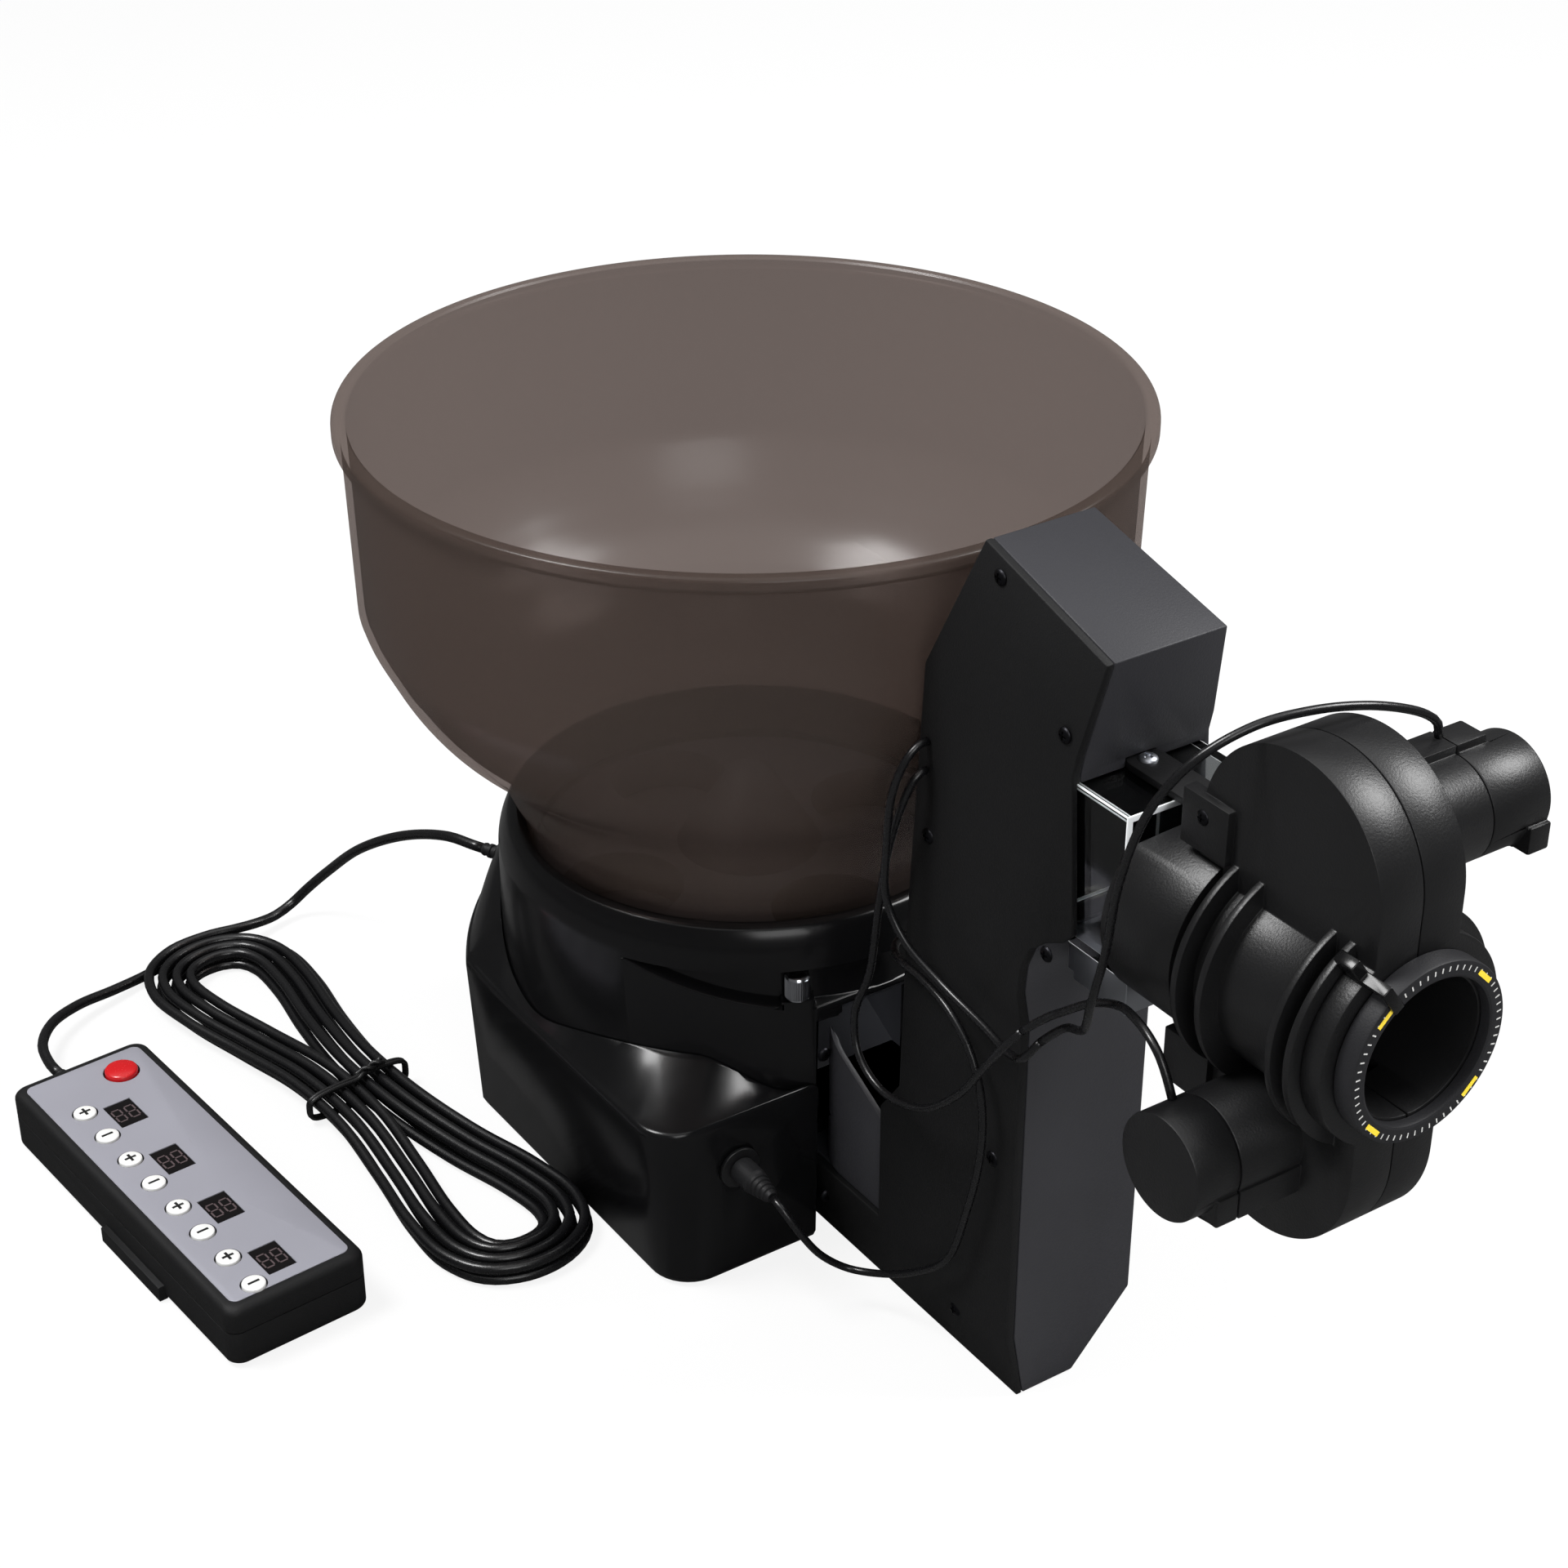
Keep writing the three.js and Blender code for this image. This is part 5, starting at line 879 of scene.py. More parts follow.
for x_arm, y_arm in ((long_arm, thin_arm), (thin_arm, long_arm)):
    size = add_node(screw_rule, "ShaderNodeCombineXYZ", X=x_arm.outputs[0], Y=y_arm.outputs[0],
                    Z=given["Head height"])
    arm = add_node(screw_rule, "GeometryNodeMeshCube", Size=size.outputs[0])
    lift_up = add_node(screw_rule, "ShaderNodeCombineXYZ", Z=given["Head height"])
    slots.append(add_node(screw_rule, "GeometryNodeTransform", Geometry=arm.outputs[0],
                          Translation=lift_up.outputs[0]).outputs[0])
slotted = domed.outputs[0]
for slot_shape in slots:
    cutter = add_node(
        screw_rule, "GeometryNodeMeshBoolean", {"operation": "DIFFERENCE"}, i0=slotted, i1=slot_shape,
    )
    slotted = cutter.outputs[0]
heads = add_node(screw_rule, "GeometryNodeInstanceOnPoints", Points=given["Geometry"], Instance=slotted,
                 Rotation=given["Turn"])
end_rule(screw_rule, heads.outputs[0], given["Finish"])

matte_abs = grain_finish("spark_eroded_abs", "0d0d0e", "131314", 0.55, 0.68, 0.6, 0.4, 0.28)
black_screw = steel_finish("blackened_steel", "2c2c2f", 0.34)
# The body's charcoal, lighter than the black cover, is painted light.
fitted(taken("duct_body"), "duct_main_body", "chassis", charcoal_abs, ["duct_body"], edge=0.5)
fitted(
    taken("duct_left_cover"), "duct_side_cover", "chassis", matte_abs,
    ["duct_left_cover"], edge=0.5,
)
wall_screw = (2.6, 1.1, black_screw)
lug_screw = (2.3, 0.9, black_screw)
cover_screws = [
    (-21.3, -164, 288), (-25.5, -201, 255), (-25.5, -139, 191), (-25.5, -198, 180), (-25.5, -177, 92),
    (-23.9, -159, 18),
]
screw_row("duct_cover_screws", "chassis", cover_screws, (-1, 0, 0), *wall_screw)
screw_row("base_wall_screws", "chassis", [(-26, -85.3, 78), (-24, -84.6, 17)], (0, -1, 0), *wall_screw)

# The box between the duct and the head is bent and glued clear acrylic, open at both ends.
# Its sawn ends are frosted, so they show up white; the same white on its rounded corners is a painted
# highlight.
def clear_finish(name, rough):
    made, tree, shader, place = new_finish(name)
    haze = add_node(tree, "ShaderNodeTexNoise", Vector=place, Scale=1000 / 12, Detail=2.0)
    gloss = add_node(tree, "ShaderNodeMapRange", i0=haze.outputs["Fac"], i3=rough, i4=rough + 0.04)
    tree.links.new(gloss.outputs[0], shader.inputs["Roughness"])
    shader.inputs["Base Color"].default_value = linear("f4f7f8")
    shader.inputs["Transmission Weight"].default_value = 1.0
    shader.inputs["IOR"].default_value = 1.35
    return made


clear_acrylic = clear_finish("cast_clear_acrylic", 0.01)
# White for the frosted sawn ends, also used on the rounded corners as a painted highlight.
frosted_and_highlit_acrylic = grain_finish("frosted_and_highlit_acrylic_edge", "dfe4e6", "f4f6f7", 0.35, 0.5, 0.5, 0.1, 0.5)
box_half, box_wall, box_back, box_front, box_low, box_high, pivot_y = 23, 2.2, -190, -227, 187, 240, -208
box_tube = cut(
    block(-box_half, box_half, box_back, box_front, box_low, box_high),
    block(box_wall - box_half, box_half - box_wall, box_back + 2, box_front - 2,
          box_low + box_wall, box_high - box_wall),
    bar("Z", 2.5, box_high - box_wall - 2, box_high + 2, (0, pivot_y), 48),
)
fitted(
    box_tube, "clear_acrylic_box", "chassis", clear_acrylic, ["clear_box"], edge=0.45,
    smooth=20,
)
# The end faces take the frosted white; the rounded corner faces take it as a painted highlight.
box_tube.data.materials.append(frosted_and_highlit_acrylic)
for polygon in box_tube.data.polygons:
    sides = sorted(abs(part) for part in polygon.normal)
    if abs(polygon.normal.y) > 0.6 or sides[1] > 0.3:
        polygon.material_index = 1

# The swing motor is a small geared motor in a zinc-plated steel can, hidden behind the duct's mouth.
zinc_steel = steel_finish("zinc_plated_steel", "b6b9bf", 0.3)
fitted(taken("swing_motor"), "swing_drive_motor", "chassis", zinc_steel, ["swing_motor"], edge=0.4)

# The launch socket turns on two pins above and below the clear box. It is a satin black moulded cup
# with two ears, and the head plugs over its spigot.
launch_z, socket_rear, socket_front = 209, -228.5, -258
socket_radius, spigot_radius, spigot_length = 32, 25, 10
relief_radius, ear_half, ear_thick, ear_front, ear_pad, pin_radius = 30.5, 6.4, 2.4, -242.8, 5, 2.2
motor_can_top, clear_way = 183.2, 21.5
far_reach = 400


def launch_bar(radius, y0, y1, sides=144):
    return bar("Y", radius, y0, y1, (0, launch_z), sides)


def ear(low, high):
    return joined(bar("Z", ear_half, low, high, (0, pivot_y), 64),
                  block(-ear_half, ear_half, pivot_y, ear_front, low, high))


socket_cup = cut(
    joined(launch_bar(socket_radius, socket_rear, socket_front),
           launch_bar(spigot_radius, socket_front - spigot_length, socket_front + 2)),
    launch_bar(clear_way, socket_rear + 2, socket_front - spigot_length - 2),
    bar("Z", relief_radius, launch_z - socket_radius - 2, launch_z + socket_radius + 2, (0, pivot_y), 144),
)
top_ear, low_ear = box_high + seat, motor_can_top + running
socket_cup = joined(
    socket_cup, ear(top_ear, top_ear + ear_thick),
    block(-ear_half, ear_half, pivot_y - relief_radius, ear_front, top_ear - ear_pad, top_ear + ear_thick),
    cut(ear(low_ear, low_ear + ear_thick), launch_bar(clear_way, 0, -318)),
    bar("Z", pin_radius, top_ear - 2, top_ear + ear_thick, (0, pivot_y), 32),
    bar("Z", pin_radius, low_ear - 6, low_ear + ear_thick, (0, pivot_y), 32),
)
fitted(socket_cup, "launch_swing_socket", "swing", satin_abs, ["launch_socket"], edge=0.35)
screw_row("socket_pivot_screw", "swing", [(0, pivot_y, top_ear + ear_thick)], (0, 0, 1), 3, 1.4, zinc_steel)

# The head is two satin black half shells split along the launch axis. They hold two wheels, one over
# and one under the tube, each driven by a motor under a round cover at the side.
tube_radius, flange_radius, flange_thick, collar_reach, collar_start = 29.5, 36, 2.4, 32, -310.7
head_rear, head_front, seam_x, head_left, head_right, head_wall = -258.6, -318, -1, -16, 14, 2.5
lobe_y, lobe_radius, chamber_radius, inner_tube = -283.5, 34.5, 31, 24
wheel_reach, wheel_radius, hub_radius, wheel_half = 41, 21.4, 16, 7.5
motor_radius, motor_length, cover_radius, cover_wall = 13.3, 34, 16, 2.2
sleeve_length, cover_reach = {1: 29, -1: 22}, {1: 51, -1: 37.5}
dial_spigot, spigot_run = 24.5, 3
flange_starts, chamber_half = (-263, -273, -301, -308), 18
lug_half, lug_inner, lug_outer, lug_front, lug_back = 2.5, 31, 48, -262, -243.5
# The ridges on the motor covers: start and end along X, inner and outer along Y, low and high.
rib_strip, conduit_strip = (-seat, 30, -7, -16, -14, -5), (-seat, 40.5, 10.5, 0.5, 8, 18.5)
hook_strip = (43, 51, -10.5, -17, -12.5, -4)


def capsule(radius, x0, x1, steps=64):
    """A prism along X over both wheels, rounded at its top and bottom."""
    half_turns = [math.pi * k / steps for k in range(steps + 1)]
    outline = [
        (lobe_y + radius * math.cos(t), launch_z + wheel_reach + radius * math.sin(t)) for t in half_turns
    ]
    outline += [
        (lobe_y - radius * math.cos(t), launch_z - wheel_reach - radius * math.sin(t)) for t in half_turns
    ]
    return prism("X", outline, x0, x1)


def wheel_bar(side, radius, x0, x1, sides=128):
    return bar("X", radius, x0, x1, (lobe_y, launch_z + side * wheel_reach), sides)


def side_face(side):
    return head_right if side > 0 else head_left


def cover_strip(side, start, end, inner, outer, low, high):
    face, z = side_face(side), launch_z + side * wheel_reach
    x0, x1 = sorted((face + side * start, face + side * end))
    return block(x0, x1, lobe_y + outer, lobe_y + inner, z + min(low, high), z + max(low, high))


def motor_cover(side):
    face = side_face(side)
    tube = wheel_bar(side, cover_radius, face - side, face + side * cover_reach[side])
    if side < 0:
        return joined(tube, cover_strip(side, *rib_strip))
    return joined(tube, cover_strip(side, *conduit_strip), cover_strip(side, *hook_strip))


def motor_room(side):
    face = side_face(side)
    return wheel_bar(side, motor_radius + seat, face, face + side * (cover_reach[side] - cover_wall))


def side_slab(x0, x1):
    low, high = sorted((x0, x1))
    return block(low, high, -far_reach, 0, -far_reach, far_reach)


def lug_block(x0, x1, side):
    z0, z1 = sorted((launch_z + side * lug_inner, launch_z + side * lug_outer))
    return block(x0, x1, lug_front, lug_back, z0, z1)


def cored_shell():
    shape = joined(
        launch_bar(tube_radius, head_rear, head_front),
        *[launch_bar(flange_radius, y, y - flange_thick) for y in flange_starts],
        capsule(lobe_radius, head_left, head_right),
        launch_bar(collar_reach, collar_start, head_front),
        launch_bar(dial_spigot, head_front + 2, head_front - seat - spigot_run),
        *[lug_block(x - lug_half, x + lug_half, side) for side in (1, -1) for x in (head_left, head_right)],
    )
    chamber = cut(capsule(chamber_radius, head_left + head_wall, head_right - head_wall),
                  launch_bar(inner_tube, socket_rear, head_front - 2))
    half = wheel_half + 1
    return cut(
        shape, launch_bar(clear_way, socket_rear, -far_reach),
        launch_bar(spigot_radius + running, socket_front - spigot_length - running, socket_rear),
        launch_bar(socket_radius + running, head_rear, socket_rear + 2), chamber,
        block(seam_x - half, seam_x + half, lobe_y - chamber_half, lobe_y + chamber_half,
              launch_z - inner_tube - 2, launch_z + inner_tube + 2),
    )


def near_side(side):
    """Room beside the covers' seam, for the half of a cover that belongs to a shell."""
    face = side_face(side)
    return side_slab(face - side, face + side * sleeve_length[side])


for side, name, node in (
    (-1, "head_left_half", "head_shell_left"), (1, "head_right_half", "head_shell_right"),
):
    face = side_face(side)
    half_shell = joined(
        kept_within(cored_shell(), side_slab(seam_x + side * seat / 2, side * far_reach)),
        kept_within(motor_cover(side), near_side(side)))
    half_shell = cut(
        half_shell, motor_room(side), wheel_bar(side, 2, face - side * head_wall * 2, face + side, 32),
    )
    if side < 0:
        half_shell = cut(half_shell, bar("X", 2.2, head_left - 4, head_left + 4, (-252, 158), 32))
    fitted(half_shell, name, "head", satin_abs, [node], edge=0.4)
for side, name, node in ((1, "upper_cover", "upper_motor_cap"), (-1, "lower_cover", "lower_motor_cap")):
    face = side_face(side)
    beyond_seam = side_slab(face + side * (sleeve_length[side] + seat), face + side * (cover_reach[side] + 2))
    cap = cut(kept_within(motor_cover(side), beyond_seam), motor_room(side))
    fitted(cap, name, "head", satin_abs, [node], edge=0.7)
screw_row("head_lug_screws", "head", [(-18.5, -252, 251)], (-1, 0, 0), *lug_screw)
screw_row("head_right_lug_screws", "head", [(16.5, -252, 251), (16.5, -252, 167)], (1, 0, 0), *lug_screw)

# Each wheel is a white moulded hub with six holes and a press-fitted shaft, in a foam rubber tyre.
# Each is turned by a small motor with a steel can.
hub_nylon = grain_finish("moulded_white_nylon", "e4e4e2", "efefee", 0.4, 0.5, 0.8, 0.1, 0.4)
hub_holes, hole_radius, hole_circle, shaft_radius = 6, 2.6, 9.5, 1.5
foam_tyre = grain_finish("foam_rubber_tyre", "111111", "1a1a1a", 0.8, 0.92, 0.5, 0.6, 0.2)
for side, where in ((1, "upper"), (-1, "lower")):
    z, face = launch_z + side * wheel_reach, side_face(side)
    x0, x1 = seam_x - wheel_half, seam_x + wheel_half
    holes = []
    for k in range(hub_holes):
        t = math.radians(360 / hub_holes * k)
        spot = (lobe_y + hole_circle * math.cos(t), z + hole_circle * math.sin(t))
        holes.append(bar("X", hole_radius, x0 - 2, x1 + 2, spot, 32))
    hub = joined(cut(wheel_bar(side, hub_radius, x0, x1), *holes),
                 wheel_bar(side, shaft_radius, *sorted((seam_x, face + side * 5.5)), 32))
    fitted(
        hub, where + "_hub", where + "_wheel", hub_nylon, [where + "_wheel_hub"], edge=0.4,
    )
    tyre = cut(wheel_bar(side, wheel_radius, x0, x1), wheel_bar(side, hub_radius + seat, x0 - 2, x1 + 2))
    fitted(tyre, where + "_tyre", where + "_wheel", foam_tyre, [where + "_wheel_tyre"], edge=0.8)
    start = face + side * seat
    can = cut(wheel_bar(side, motor_radius, *sorted((start, start + side * motor_length))),
              wheel_bar(side, 2, *sorted((start - side, start + side * 6.5)), 32))
    fitted(can, where + "_motor_can", "head", zinc_steel, [where + "_motor"], edge=0.5)

# The dial is a dark grey moulded ring round the muzzle. It has a yellow dash at each diagonal,
# and plain ticks that repeat round it by a rule. A clip on the head holds it at its edge.
dial_out, dial_in, dial_thick, dial_rear = 27.5, 22.3, 6.7, head_front - seat
grey_abs = grain_finish("dark_grey_moulded_abs", "1b1b1d", "232326", 0.45, 0.58, 0.6, 0.3, 0.3)
yellow_ink = grain_finish("yellow_pad_ink", "e8c81e", "f2d530", 0.5, 0.6, 0.5, 0.05, 0.3)
pale_ink = grain_finish("pale_pad_ink", "b9b9b6", "cacac8", 0.5, 0.6, 0.5, 0.05, 0.3)
dial_face = dial_rear - dial_thick
dial_profile = [(dial_in, dial_rear - spigot_run - seat), (dial_spigot + seat, dial_rear - spigot_run - seat),
                (dial_spigot + seat, dial_rear), (dial_out - 0.4, dial_rear), (dial_out, dial_rear - 0.4),
                (dial_out, dial_face + 1), (dial_out - 0.3, dial_face + 0.3), (dial_out - 1, dial_face),
                (dial_in + 0.8, dial_face), (dial_in + 0.2, dial_face + 0.3), (dial_in, dial_face + 0.9)]
dial_body = turned_solid(dial_profile, "Y", (0, launch_z), 160)
fitted(dial_body, "muzzle_dial", "dial", grey_abs, ["dial_ring"], smooth=25)
tick_rule, given = rule_tree("ticks_round_a_dial", [
    ("Geometry", "Geometry"), ("Count", "Int"), ("Ring radius", "Float"), ("Size", "Vector"),
    ("Finish", "Material")])
ring = add_node(tick_rule, "GeometryNodeMeshCircle", Vertices=given["Count"], Radius=given["Ring radius"])
place = add_node(tick_rule, "GeometryNodeInputPosition")
towards = add_node(tick_rule, "FunctionNodeAlignRotationToVector", {"axis": "X"}, Vector=place.outputs[0])
bar_shape = add_node(tick_rule, "GeometryNodeMeshCube", Size=given["Size"])
ticks = add_node(tick_rule, "GeometryNodeInstanceOnPoints", Points=ring.outputs[0],
                 Instance=bar_shape.outputs[0],
                 Rotation=towards.outputs[0])
end_rule(tick_rule, ticks.outputs[0], given["Finish"])


def dial_marks(name, count, radius, size, turn, finish):
    marks = grown(tick_rule, {"Count": count, "Ring radius": radius * mm, "Size": tuple(
        part * mm for part in size
    ),
                              "Finish": finish})
    marks.data.transform(Matrix.Translation(Vector((0, dial_face, launch_z)) * mm)
                         @ Matrix.Rotation(math.radians(90), 4, "X") @ Matrix.Rotation(math.radians(turn), 4,
                         "Z"))
    return fitted(marks, name, "dial", finish, smooth=30)


dial_marks("dial_yellow_dashes", 4, 25, (1.5, 6.4, 0.16), 45, yellow_ink)
dial_marks("dial_ticks", 60, 25.4, (1.5, 0.4, 0.14), 3, pale_ink)
fitted(taken("dial_clip"), "dial_edge_clip", "head", gloss_abs, ["dial_clip"], edge=0.4)

# The controller is a flat case of two matt black mouldings with a grey panel pressed on its top.
# It lies on the floor, turned a little, so each of its pieces is made about its own middle and moved.
case_place, case_turn = (-207, 47), 4.5
case_wide, case_long, case_high, case_split, case_wall = 53, 160, 24, 14, 2
key_x, key_first, key_pitch, key_radius = -12, 49, 17.2, 4.1
red_x, red_y, red_radius = 10.3, 64, 6
window_x, window_first, window_pitch, window_wide, window_long = -0.4, 40.3, 34.5, 10.6, 15
key_spots = [(key_x, key_first - k * key_pitch) for k in range(8)]
window_spots = [(window_x, window_first - k * window_pitch) for k in range(4)]


def laid(piece):
    """Moves a piece from the controller's own middle to where the controller lies."""
    piece.data.transform(Matrix.Translation(Vector((*case_place, 0)) * mm)
                         @ Matrix.Rotation(math.radians(case_turn), 4, "Z"))
    return piece


def round_rect(half, reach, corner, height, steps=12):
    spots = []
    for cx, cy, first in ((1, 1, 0), (-1, 1, 90), (-1, -1, 180), (1, -1, 270)):
        for k in range(steps + 1):
            t = math.radians(first + 90 * k / steps)
            spots.append((cx * (half - corner) + corner * math.cos(t),
                          cy * (reach - corner) + corner * math.sin(t),
                          height))
    return spots


def case_ring(shrink, height):
    return round_rect(case_wide / 2 - shrink, case_long / 2 - shrink, 5, height)


def case_loft(levels):
    return loft([case_ring(shrink, height) for shrink, height in levels])


def rounded_levels(edge, low, high, upwards):
    """Levels of a rounded edge, from the flat face to the wall or back."""
    turns = [math.radians(15 * k) for k in range(7)]
    if upwards:
        return [(edge - edge * math.cos(t), high - edge + edge * math.sin(t)) for t in turns]
    return [(edge - edge * math.sin(t), low + edge - edge * math.cos(t)) for t in turns]


window_rooms = [((x - window_wide / 2, x + window_wide / 2), (y - window_long / 2, y + window_long / 2))
                for x, y in window_spots]
lower_case = joined(
    cut(case_loft(rounded_levels(3, 0, 0, False) + [(0, case_split)]),
        case_loft([(4, case_wall), (case_wall, 4), (case_wall, case_split + 2)])),
    block(-case_wide / 2 - 2.4, 1 - case_wide / 2, -33, 9, 0, 6),
)
lower_case = cut(lower_case, bar("Y", 3.6 + seat, case_long / 2 - 4, case_long / 2 + 2, (0, 9.5), 48))
fitted(
    laid(lower_case), "controller_tray", "chassis", matte_abs, ["controller_lower_case"],
    edge=0.35,
)
upper_case = cut(
    case_loft([(0, case_split + seat)] + rounded_levels(3, 0, case_high, True)),
    case_loft([(case_wall, case_split - 2), (case_wall, 20), (4, 22)]),
    *[bar("Z", key_radius + seat, 20, 26, spot, 48) for spot in key_spots],
    bar("Z", red_radius + seat, 20, 26, (red_x, red_y), 64),
    *[block(*across, *along, 20, 26) for across, along in window_rooms],
)
fitted(
    laid(upper_case), "controller_cover", "chassis", matte_abs,
    ["controller_upper_case"], edge=0.3,
)

# The panel is a thin grey film with rounded corners, cut out for the buttons and the displays.
panel_film = grain_finish("grey_coated_film", "96969f", "a0a0aa", 0.42, 0.52, 0.5, 0.12, 0.3)
panel = cut(
    loft([round_rect(22.6, 75.8, 3, 23.9), round_rect(22.6, 75.8, 3, 24.2),
    round_rect(22.45, 75.65, 2.9, 24.3)]),
    *[bar("Z", key_radius + 0.6, 23, 26, spot, 48) for spot in key_spots],
    bar("Z", red_radius + 0.7, 23, 26, (red_x, red_y), 64),
    *[block(*across, *along, 23, 26) for across, along in window_rooms],
)
fitted(laid(panel), "controller_panel", "chassis", panel_film)

# Each display is a dark smoked window flush with the panel, with two unlit digits showing faintly in it.
display_glass = grain_finish("dark_display_glass", "0c0a0b", "100d0e", 0.08, 0.12, 6, 0.02, 0.5)
unlit_segment = grain_finish("unlit_display_segment", "574b4d", "5f5254", 0.3, 0.4, 0.6, 0.05, 0.3)
digit_shape = [((-1.4, 1.4), (3.4, 4)), ((-1.4, 1.4), (-0.3, 0.3)), ((-1.4, 1.4), (-4, -3.4)),
               ((-1.9, -1.3), (0.5, 3.3)), ((1.3, 1.9), (0.5, 3.3)), ((-1.9, -1.3), (-3.3, -0.5)),
               ((1.3, 1.9), (-3.3, -0.5))]
window_glass, digits = [], []
for x, y in window_spots:
    half, reach = window_wide / 2 - seat / 2, window_long / 2 - seat / 2
    window_glass.append(loft([
        [(x + spot[0], y + spot[1], height) for spot in round_rect(half - shrink, reach - shrink, 0.6, 0, 4)]
        for shrink, height in ((0, 14.6), (0, 23.9), (0.15, 24.05))]))
    for middle in (-2.5, 2.5):
        digits += [block(x + middle + low, x + middle + high, y + front, y + back, 24, 24.09)
                   for (low, high), (front, back) in digit_shape]
fitted(
    laid(joined(window_glass[0], *window_glass[1:])), "controller_displays", "chassis",
    display_glass,
)
fitted(laid(joined(digits[0], *digits[1:])), "controller_digits", "chassis", unlit_segment)

# The eight white buttons are small domed caps on stems, with a rim below the case that holds them in.
# A plus and a minus take turns on them. The red button is larger and stands higher.
cap_styrene = grain_finish("white_moulded_cap", "eeeeec", "f6f6f5", 0.3, 0.4, 0.7, 0.05, 0.45)
red_styrene = grain_finish("red_moulded_cap", "c8141a", "d31a20", 0.22, 0.3, 0.8, 0.05, 0.5)
black_ink = grain_finish("black_pad_ink", "101010", "161616", 0.5, 0.6, 0.5, 0.05, 0.3)


def cap_solid(spot, radius, stand, stem, travel, rim, dome):
    top, rim_top = case_high + stand, case_high - case_wall - seat
    rim_low = rim_top - 1.3
    edge = top - dome
    turns = [math.radians(15 * k) for k in range(1, 6)]
    profile = [(0, 14.4 + travel + seat), (stem, 14.4 + travel + seat), (stem, rim_low),
               (radius + rim, rim_low),
               (radius + rim, rim_top), (radius, rim_top), (radius, edge - 0.3), (radius - 0.12, edge)]
    profile += [((radius - 0.12) * math.cos(t), edge + dome * math.sin(t)) for t in turns] + [(0, top)]
    return turned_solid(profile, "Z", spot, 64)


def sign_solid(spot, upright):
    x, y = spot
    top = case_high + 1.1
    flat = block(x - 2.1, x + 2.1, y - 0.48, y + 0.48, top - 0.3, top + 0.05)
    return joined(flat,
        block(x - 0.48, x + 0.48, y - 2.1, y + 2.1, top - 0.3, top + 0.05)) if upright else flat


for k, spot in enumerate(key_spots):
    body = "key_%d" % (k + 1)
    fitted(laid(cap_solid(spot, key_radius, 1.1, 2, 0.8, 0.55, 0.35)), body + "_cap", body,
           cap_styrene,
           ["button_%d" % (k + 1)], smooth=30)
    fitted(laid(sign_solid(spot, k % 2 == 0)), body + "_sign", body, black_ink)
fitted(laid(cap_solid((red_x, red_y), red_radius, 2.4, 2.6, 1.5, 1, 1)), "red_cap", "red_key",
       red_styrene, ["red_button"], smooth=30)

# The cable leaves the case through a short ribbed gland, moulded on it.
case_gland = gland_solid(3.6, 2.6, 16, 6, 4.8, -case_wall - seat - 1.5, 1.5)
case_gland.data.transform(Matrix.Translation(Vector((0, case_long / 2, 9.5)) * mm)
                          @ Matrix.Rotation(math.radians(-90), 4, "X"))
fitted(
    laid(case_gland), "controller_cable_gland", "chassis", soft_vinyl, ["controller_relief"],
    smooth=25,
)

# The hank is tied at its waist with a length of plastic-covered wire, wound round twice and twisted on top.
tie_radius = 0.9
wire_pvc = grain_finish("covered_tie_wire", "0d0d0e", "151516", 0.35, 0.45, 0.8, 0.15, 0.4)
tie_route = []
tie_half, tie_low, tie_high = 20.4, 1.25, 12.4
for k in range(97):
    turn = 2 * math.pi * k / 48 + math.pi / 2
    corner = 4
    wide, tall = math.cos(turn), math.sin(turn)
    x = math.copysign(abs(wide) ** 0.45, wide) * (tie_half + 0.5)
    z = (tie_high + tie_low) / 2 + math.copysign(abs(tall) ** 0.5, tall) * (tie_high - tie_low) / 2
    tie_route.append((x, -1.4 + 2.8 * k / 96, z))
twist, mirror = [
    [(2 + 1.15 * k, way * 1.05 * math.cos(0.9 * k), tie_high + 1 + way * 0.95 * math.sin(0.9 * k) + 0.22 * k)
     for k in range(9)] for way in (1, -1)]
tie_line = [Vector(spot) * mm for spot in
            list(reversed(mirror)) + tie_route + twist]
tie_piece = cable_piece("hank_wire_tie", smooth_route([tuple(spot) for spot in tie_line], 0.0012),
                        tie_radius * mm,
                        wire_pvc, 10)
tie_piece.data.transform(Matrix.Translation(hank_middle) @ Matrix.Rotation(hank_turn, 4, "Z"))
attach(tie_piece, "chassis")
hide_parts("hank_tie")
# Finishes for the pieces that keep their CAD shape.
# They are inside the machine or flat, so only their colour and grain are seen.
soft_rubber = grain_finish("soft_moulded_rubber", "141414", "1d1d1d", 0.7, 0.85, 0.6, 0.4, 0.2)
circuit_laminate = grain_finish("solder_masked_laminate", "1d5534", "24613c", 0.35, 0.5, 0.6, 0.1)
kept_finishes = {
    "feed_gear_motor": zinc_steel, "lift_drum": zinc_steel, "lift_idler": zinc_steel,
    "swing_motor": zinc_steel,
    "upper_motor": zinc_steel, "lower_motor": zinc_steel, "circuit_board": circuit_laminate,
    "controller_board": circuit_laminate, "lift_belt": soft_rubber,
}
for name, node_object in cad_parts.items():
    if node_object.hide_render:
        continue
    node_object.data.materials.clear()
    node_object.data.materials.append(kept_finishes.get(name, soft_rubber if "pad" in name else rotor_abs))

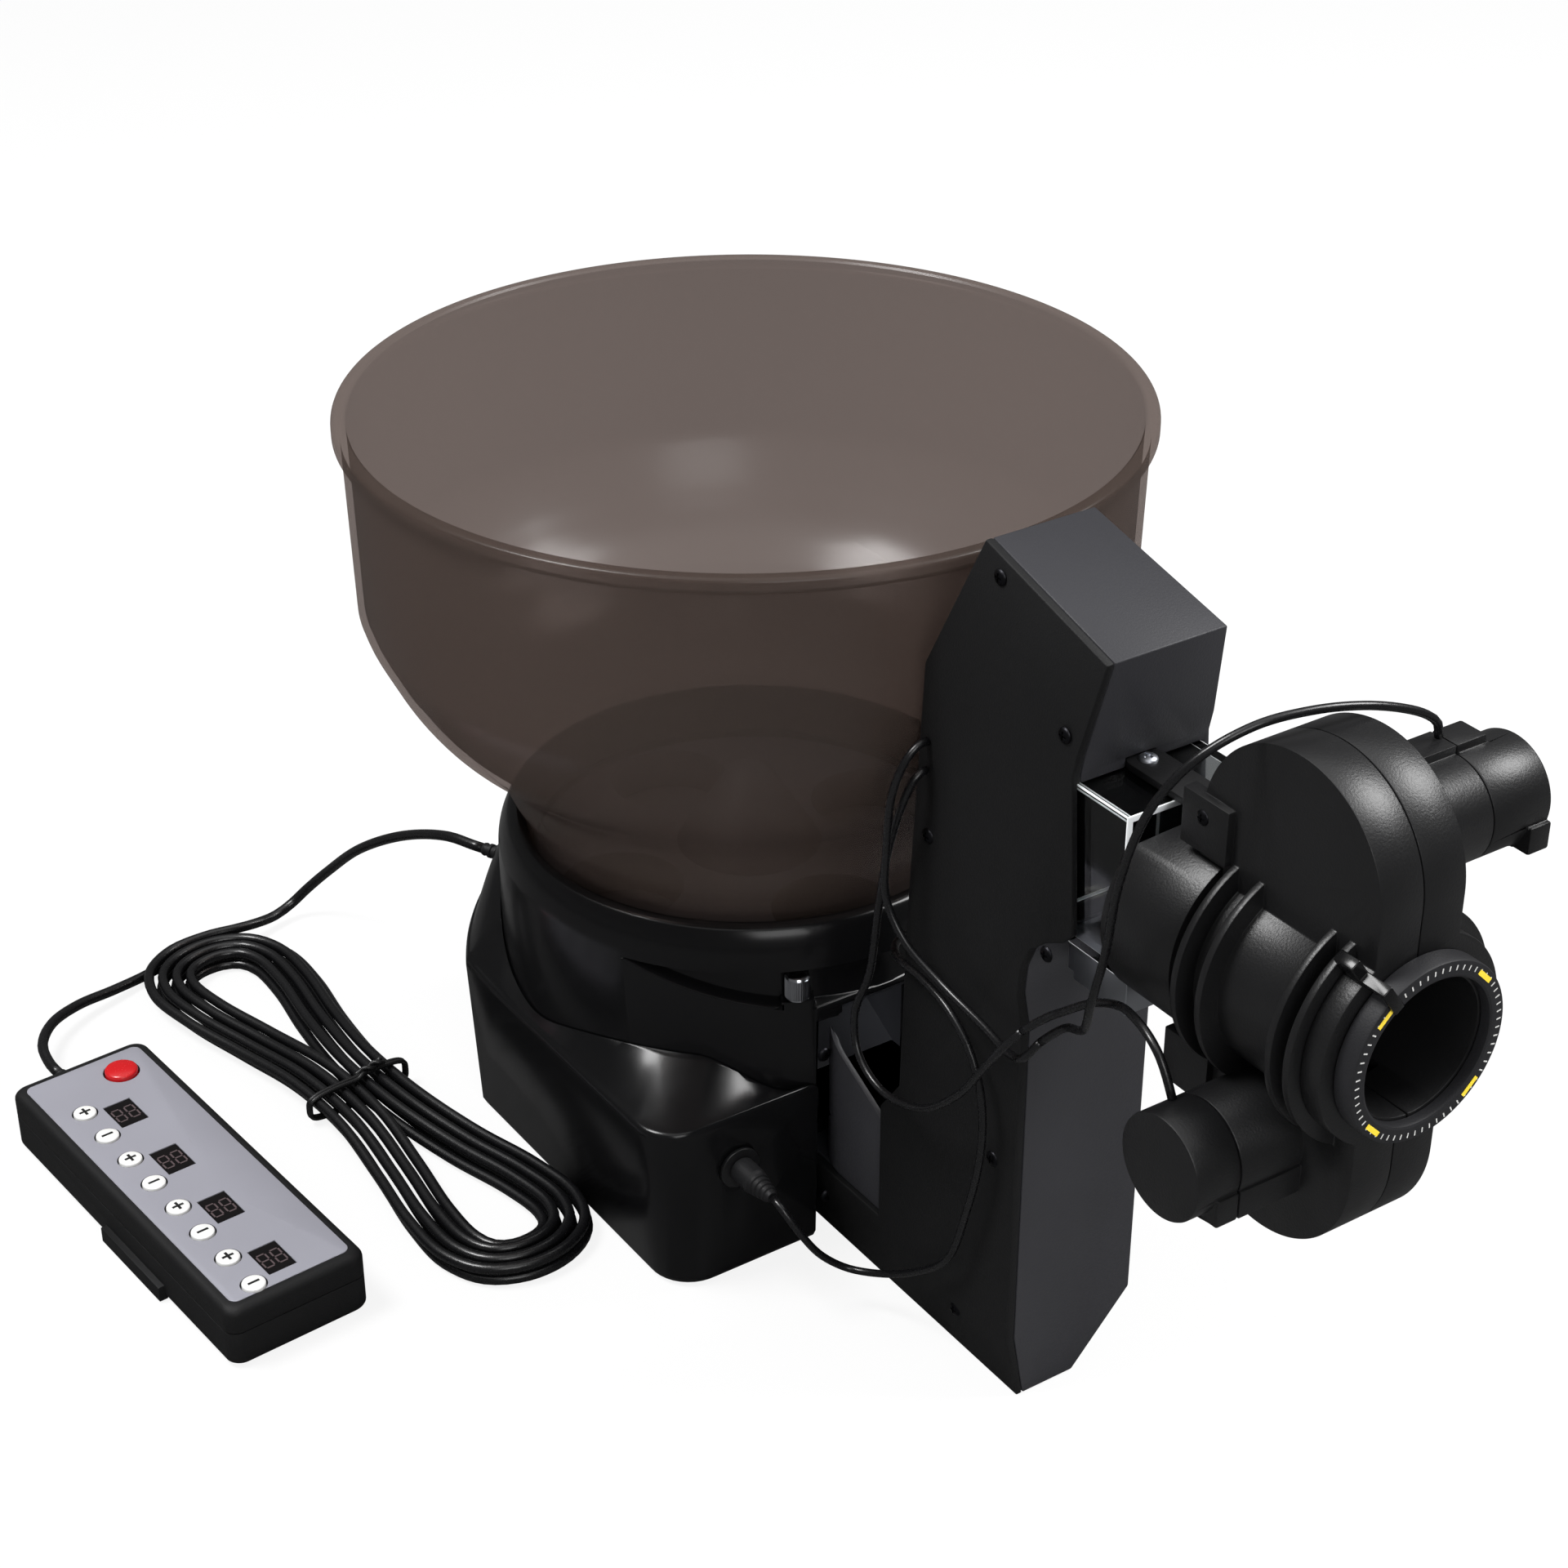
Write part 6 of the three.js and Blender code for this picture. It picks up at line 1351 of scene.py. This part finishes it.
# A plain pale floor with a soft tent of light above it.
# The camera sees white behind the machine, and bright metal and clear plastic mirror it.
floor_mesh = bpy.data.meshes.new("studio_floor")
floor_reach = 6
floor_mesh.from_pydata([
    (x * floor_reach, y * floor_reach, -0.0004) for x, y in ((-1, -1), (1, -1), (1, 1), (-1, 1))
],
                       [], [(0, 1, 2, 3)])
floor = bpy.data.objects.new("studio_floor", floor_mesh)
bpy.context.scene.collection.objects.link(floor)
floor_paint = bpy.data.materials.new("pale_floor")
floor_paint.use_nodes = True
tree = floor_paint.node_tree
output = tree.nodes["Material Output"]
# Glossy rays see the floor painted a dark grey: painted shade in its reflections on the machine.
paint = add_node(tree, "ShaderNodeMix", {"data_type": "RGBA"}, i6=linear("fafafa"), i7=linear("5a5a5a"))
tree.links.new(paint.outputs[2], tree.nodes["Principled BSDF"].inputs["Base Color"])
tree.nodes["Principled BSDF"].inputs["Roughness"].default_value = 0.9
tree.nodes["Principled BSDF"].inputs["Specular IOR Level"].default_value = 0.0
glow = add_node(tree, "ShaderNodeEmission", Color=linear("ffffff"), Strength=1.0)
seen = add_node(tree, "ShaderNodeLightPath")
tree.links.new(seen.outputs["Is Glossy Ray"], paint.inputs[0])
share = add_node(tree, "ShaderNodeMath", {"operation": "MULTIPLY"}, i0=seen.outputs["Is Camera Ray"], i1=0.86)
mixed = add_node(tree, "ShaderNodeMixShader", i0=share.outputs[0],
                 i1=tree.nodes["Principled BSDF"].outputs[0],
                 i2=glow.outputs[0])
tree.links.new(mixed.outputs[0], output.inputs["Surface"])
floor_mesh.materials.append(floor_paint)

world = bpy.data.worlds.new("studio_world")
bpy.context.scene.world = world
world.use_nodes = True
tree = world.node_tree
seen = add_node(tree, "ShaderNodeLightPath")
plain = add_node(tree, "ShaderNodeMath", {"operation": "MAXIMUM"}, i0=seen.outputs["Is Camera Ray"],
                 i1=seen.outputs["Is Transmission Ray"])
around = add_node(tree, "ShaderNodeMapRange", i0=plain.outputs[0], i3=0.4, i4=1.0)
# Mirrored light comes from a soft box overhead, so flat faces stay dark and rolled edges shine.
way_up = add_node(
    tree, "ShaderNodeSeparateXYZ", Vector=add_node(tree, "ShaderNodeTexCoord").outputs["Generated"],
)
overhead = add_node(tree, "ShaderNodeMapRange", i0=way_up.outputs["Z"], i1=0.7, i2=0.84, i3=0.12, i4=1.2)
level = add_node(tree, "ShaderNodeMapRange", i0=seen.outputs["Is Glossy Ray"], i3=around.outputs[0],
                 i4=overhead.outputs[0])
tree.nodes["Background"].inputs["Color"].default_value = linear("ffffff")
tree.links.new(level.outputs[0], tree.nodes["Background"].inputs["Strength"])


def lamp(name, place, target, size, power):
    data = bpy.data.lights.new(name, "AREA")
    data.size = size
    data.energy = power
    lamp_object = bpy.data.objects.new(name, data)
    bpy.context.scene.collection.objects.link(lamp_object)
    way = (Vector(target) - Vector(place)).to_track_quat("-Z", "Y")
    lamp_object.matrix_world = Matrix.Translation(place) @ way.to_matrix().to_4x4()


lamp("key_lamp", (-0.9, 0.3, 1.8), (0, 0, 0.15), 0.6, 30)
lamp("fill_lamp", (1.2, -0.7, 1.5), (0, -0.1, 0.15), 0.8, 34)
lamp("front_lamp", (-0.6, -1.8, 1.2), (0, -0.1, 0.15), 0.9, 10)
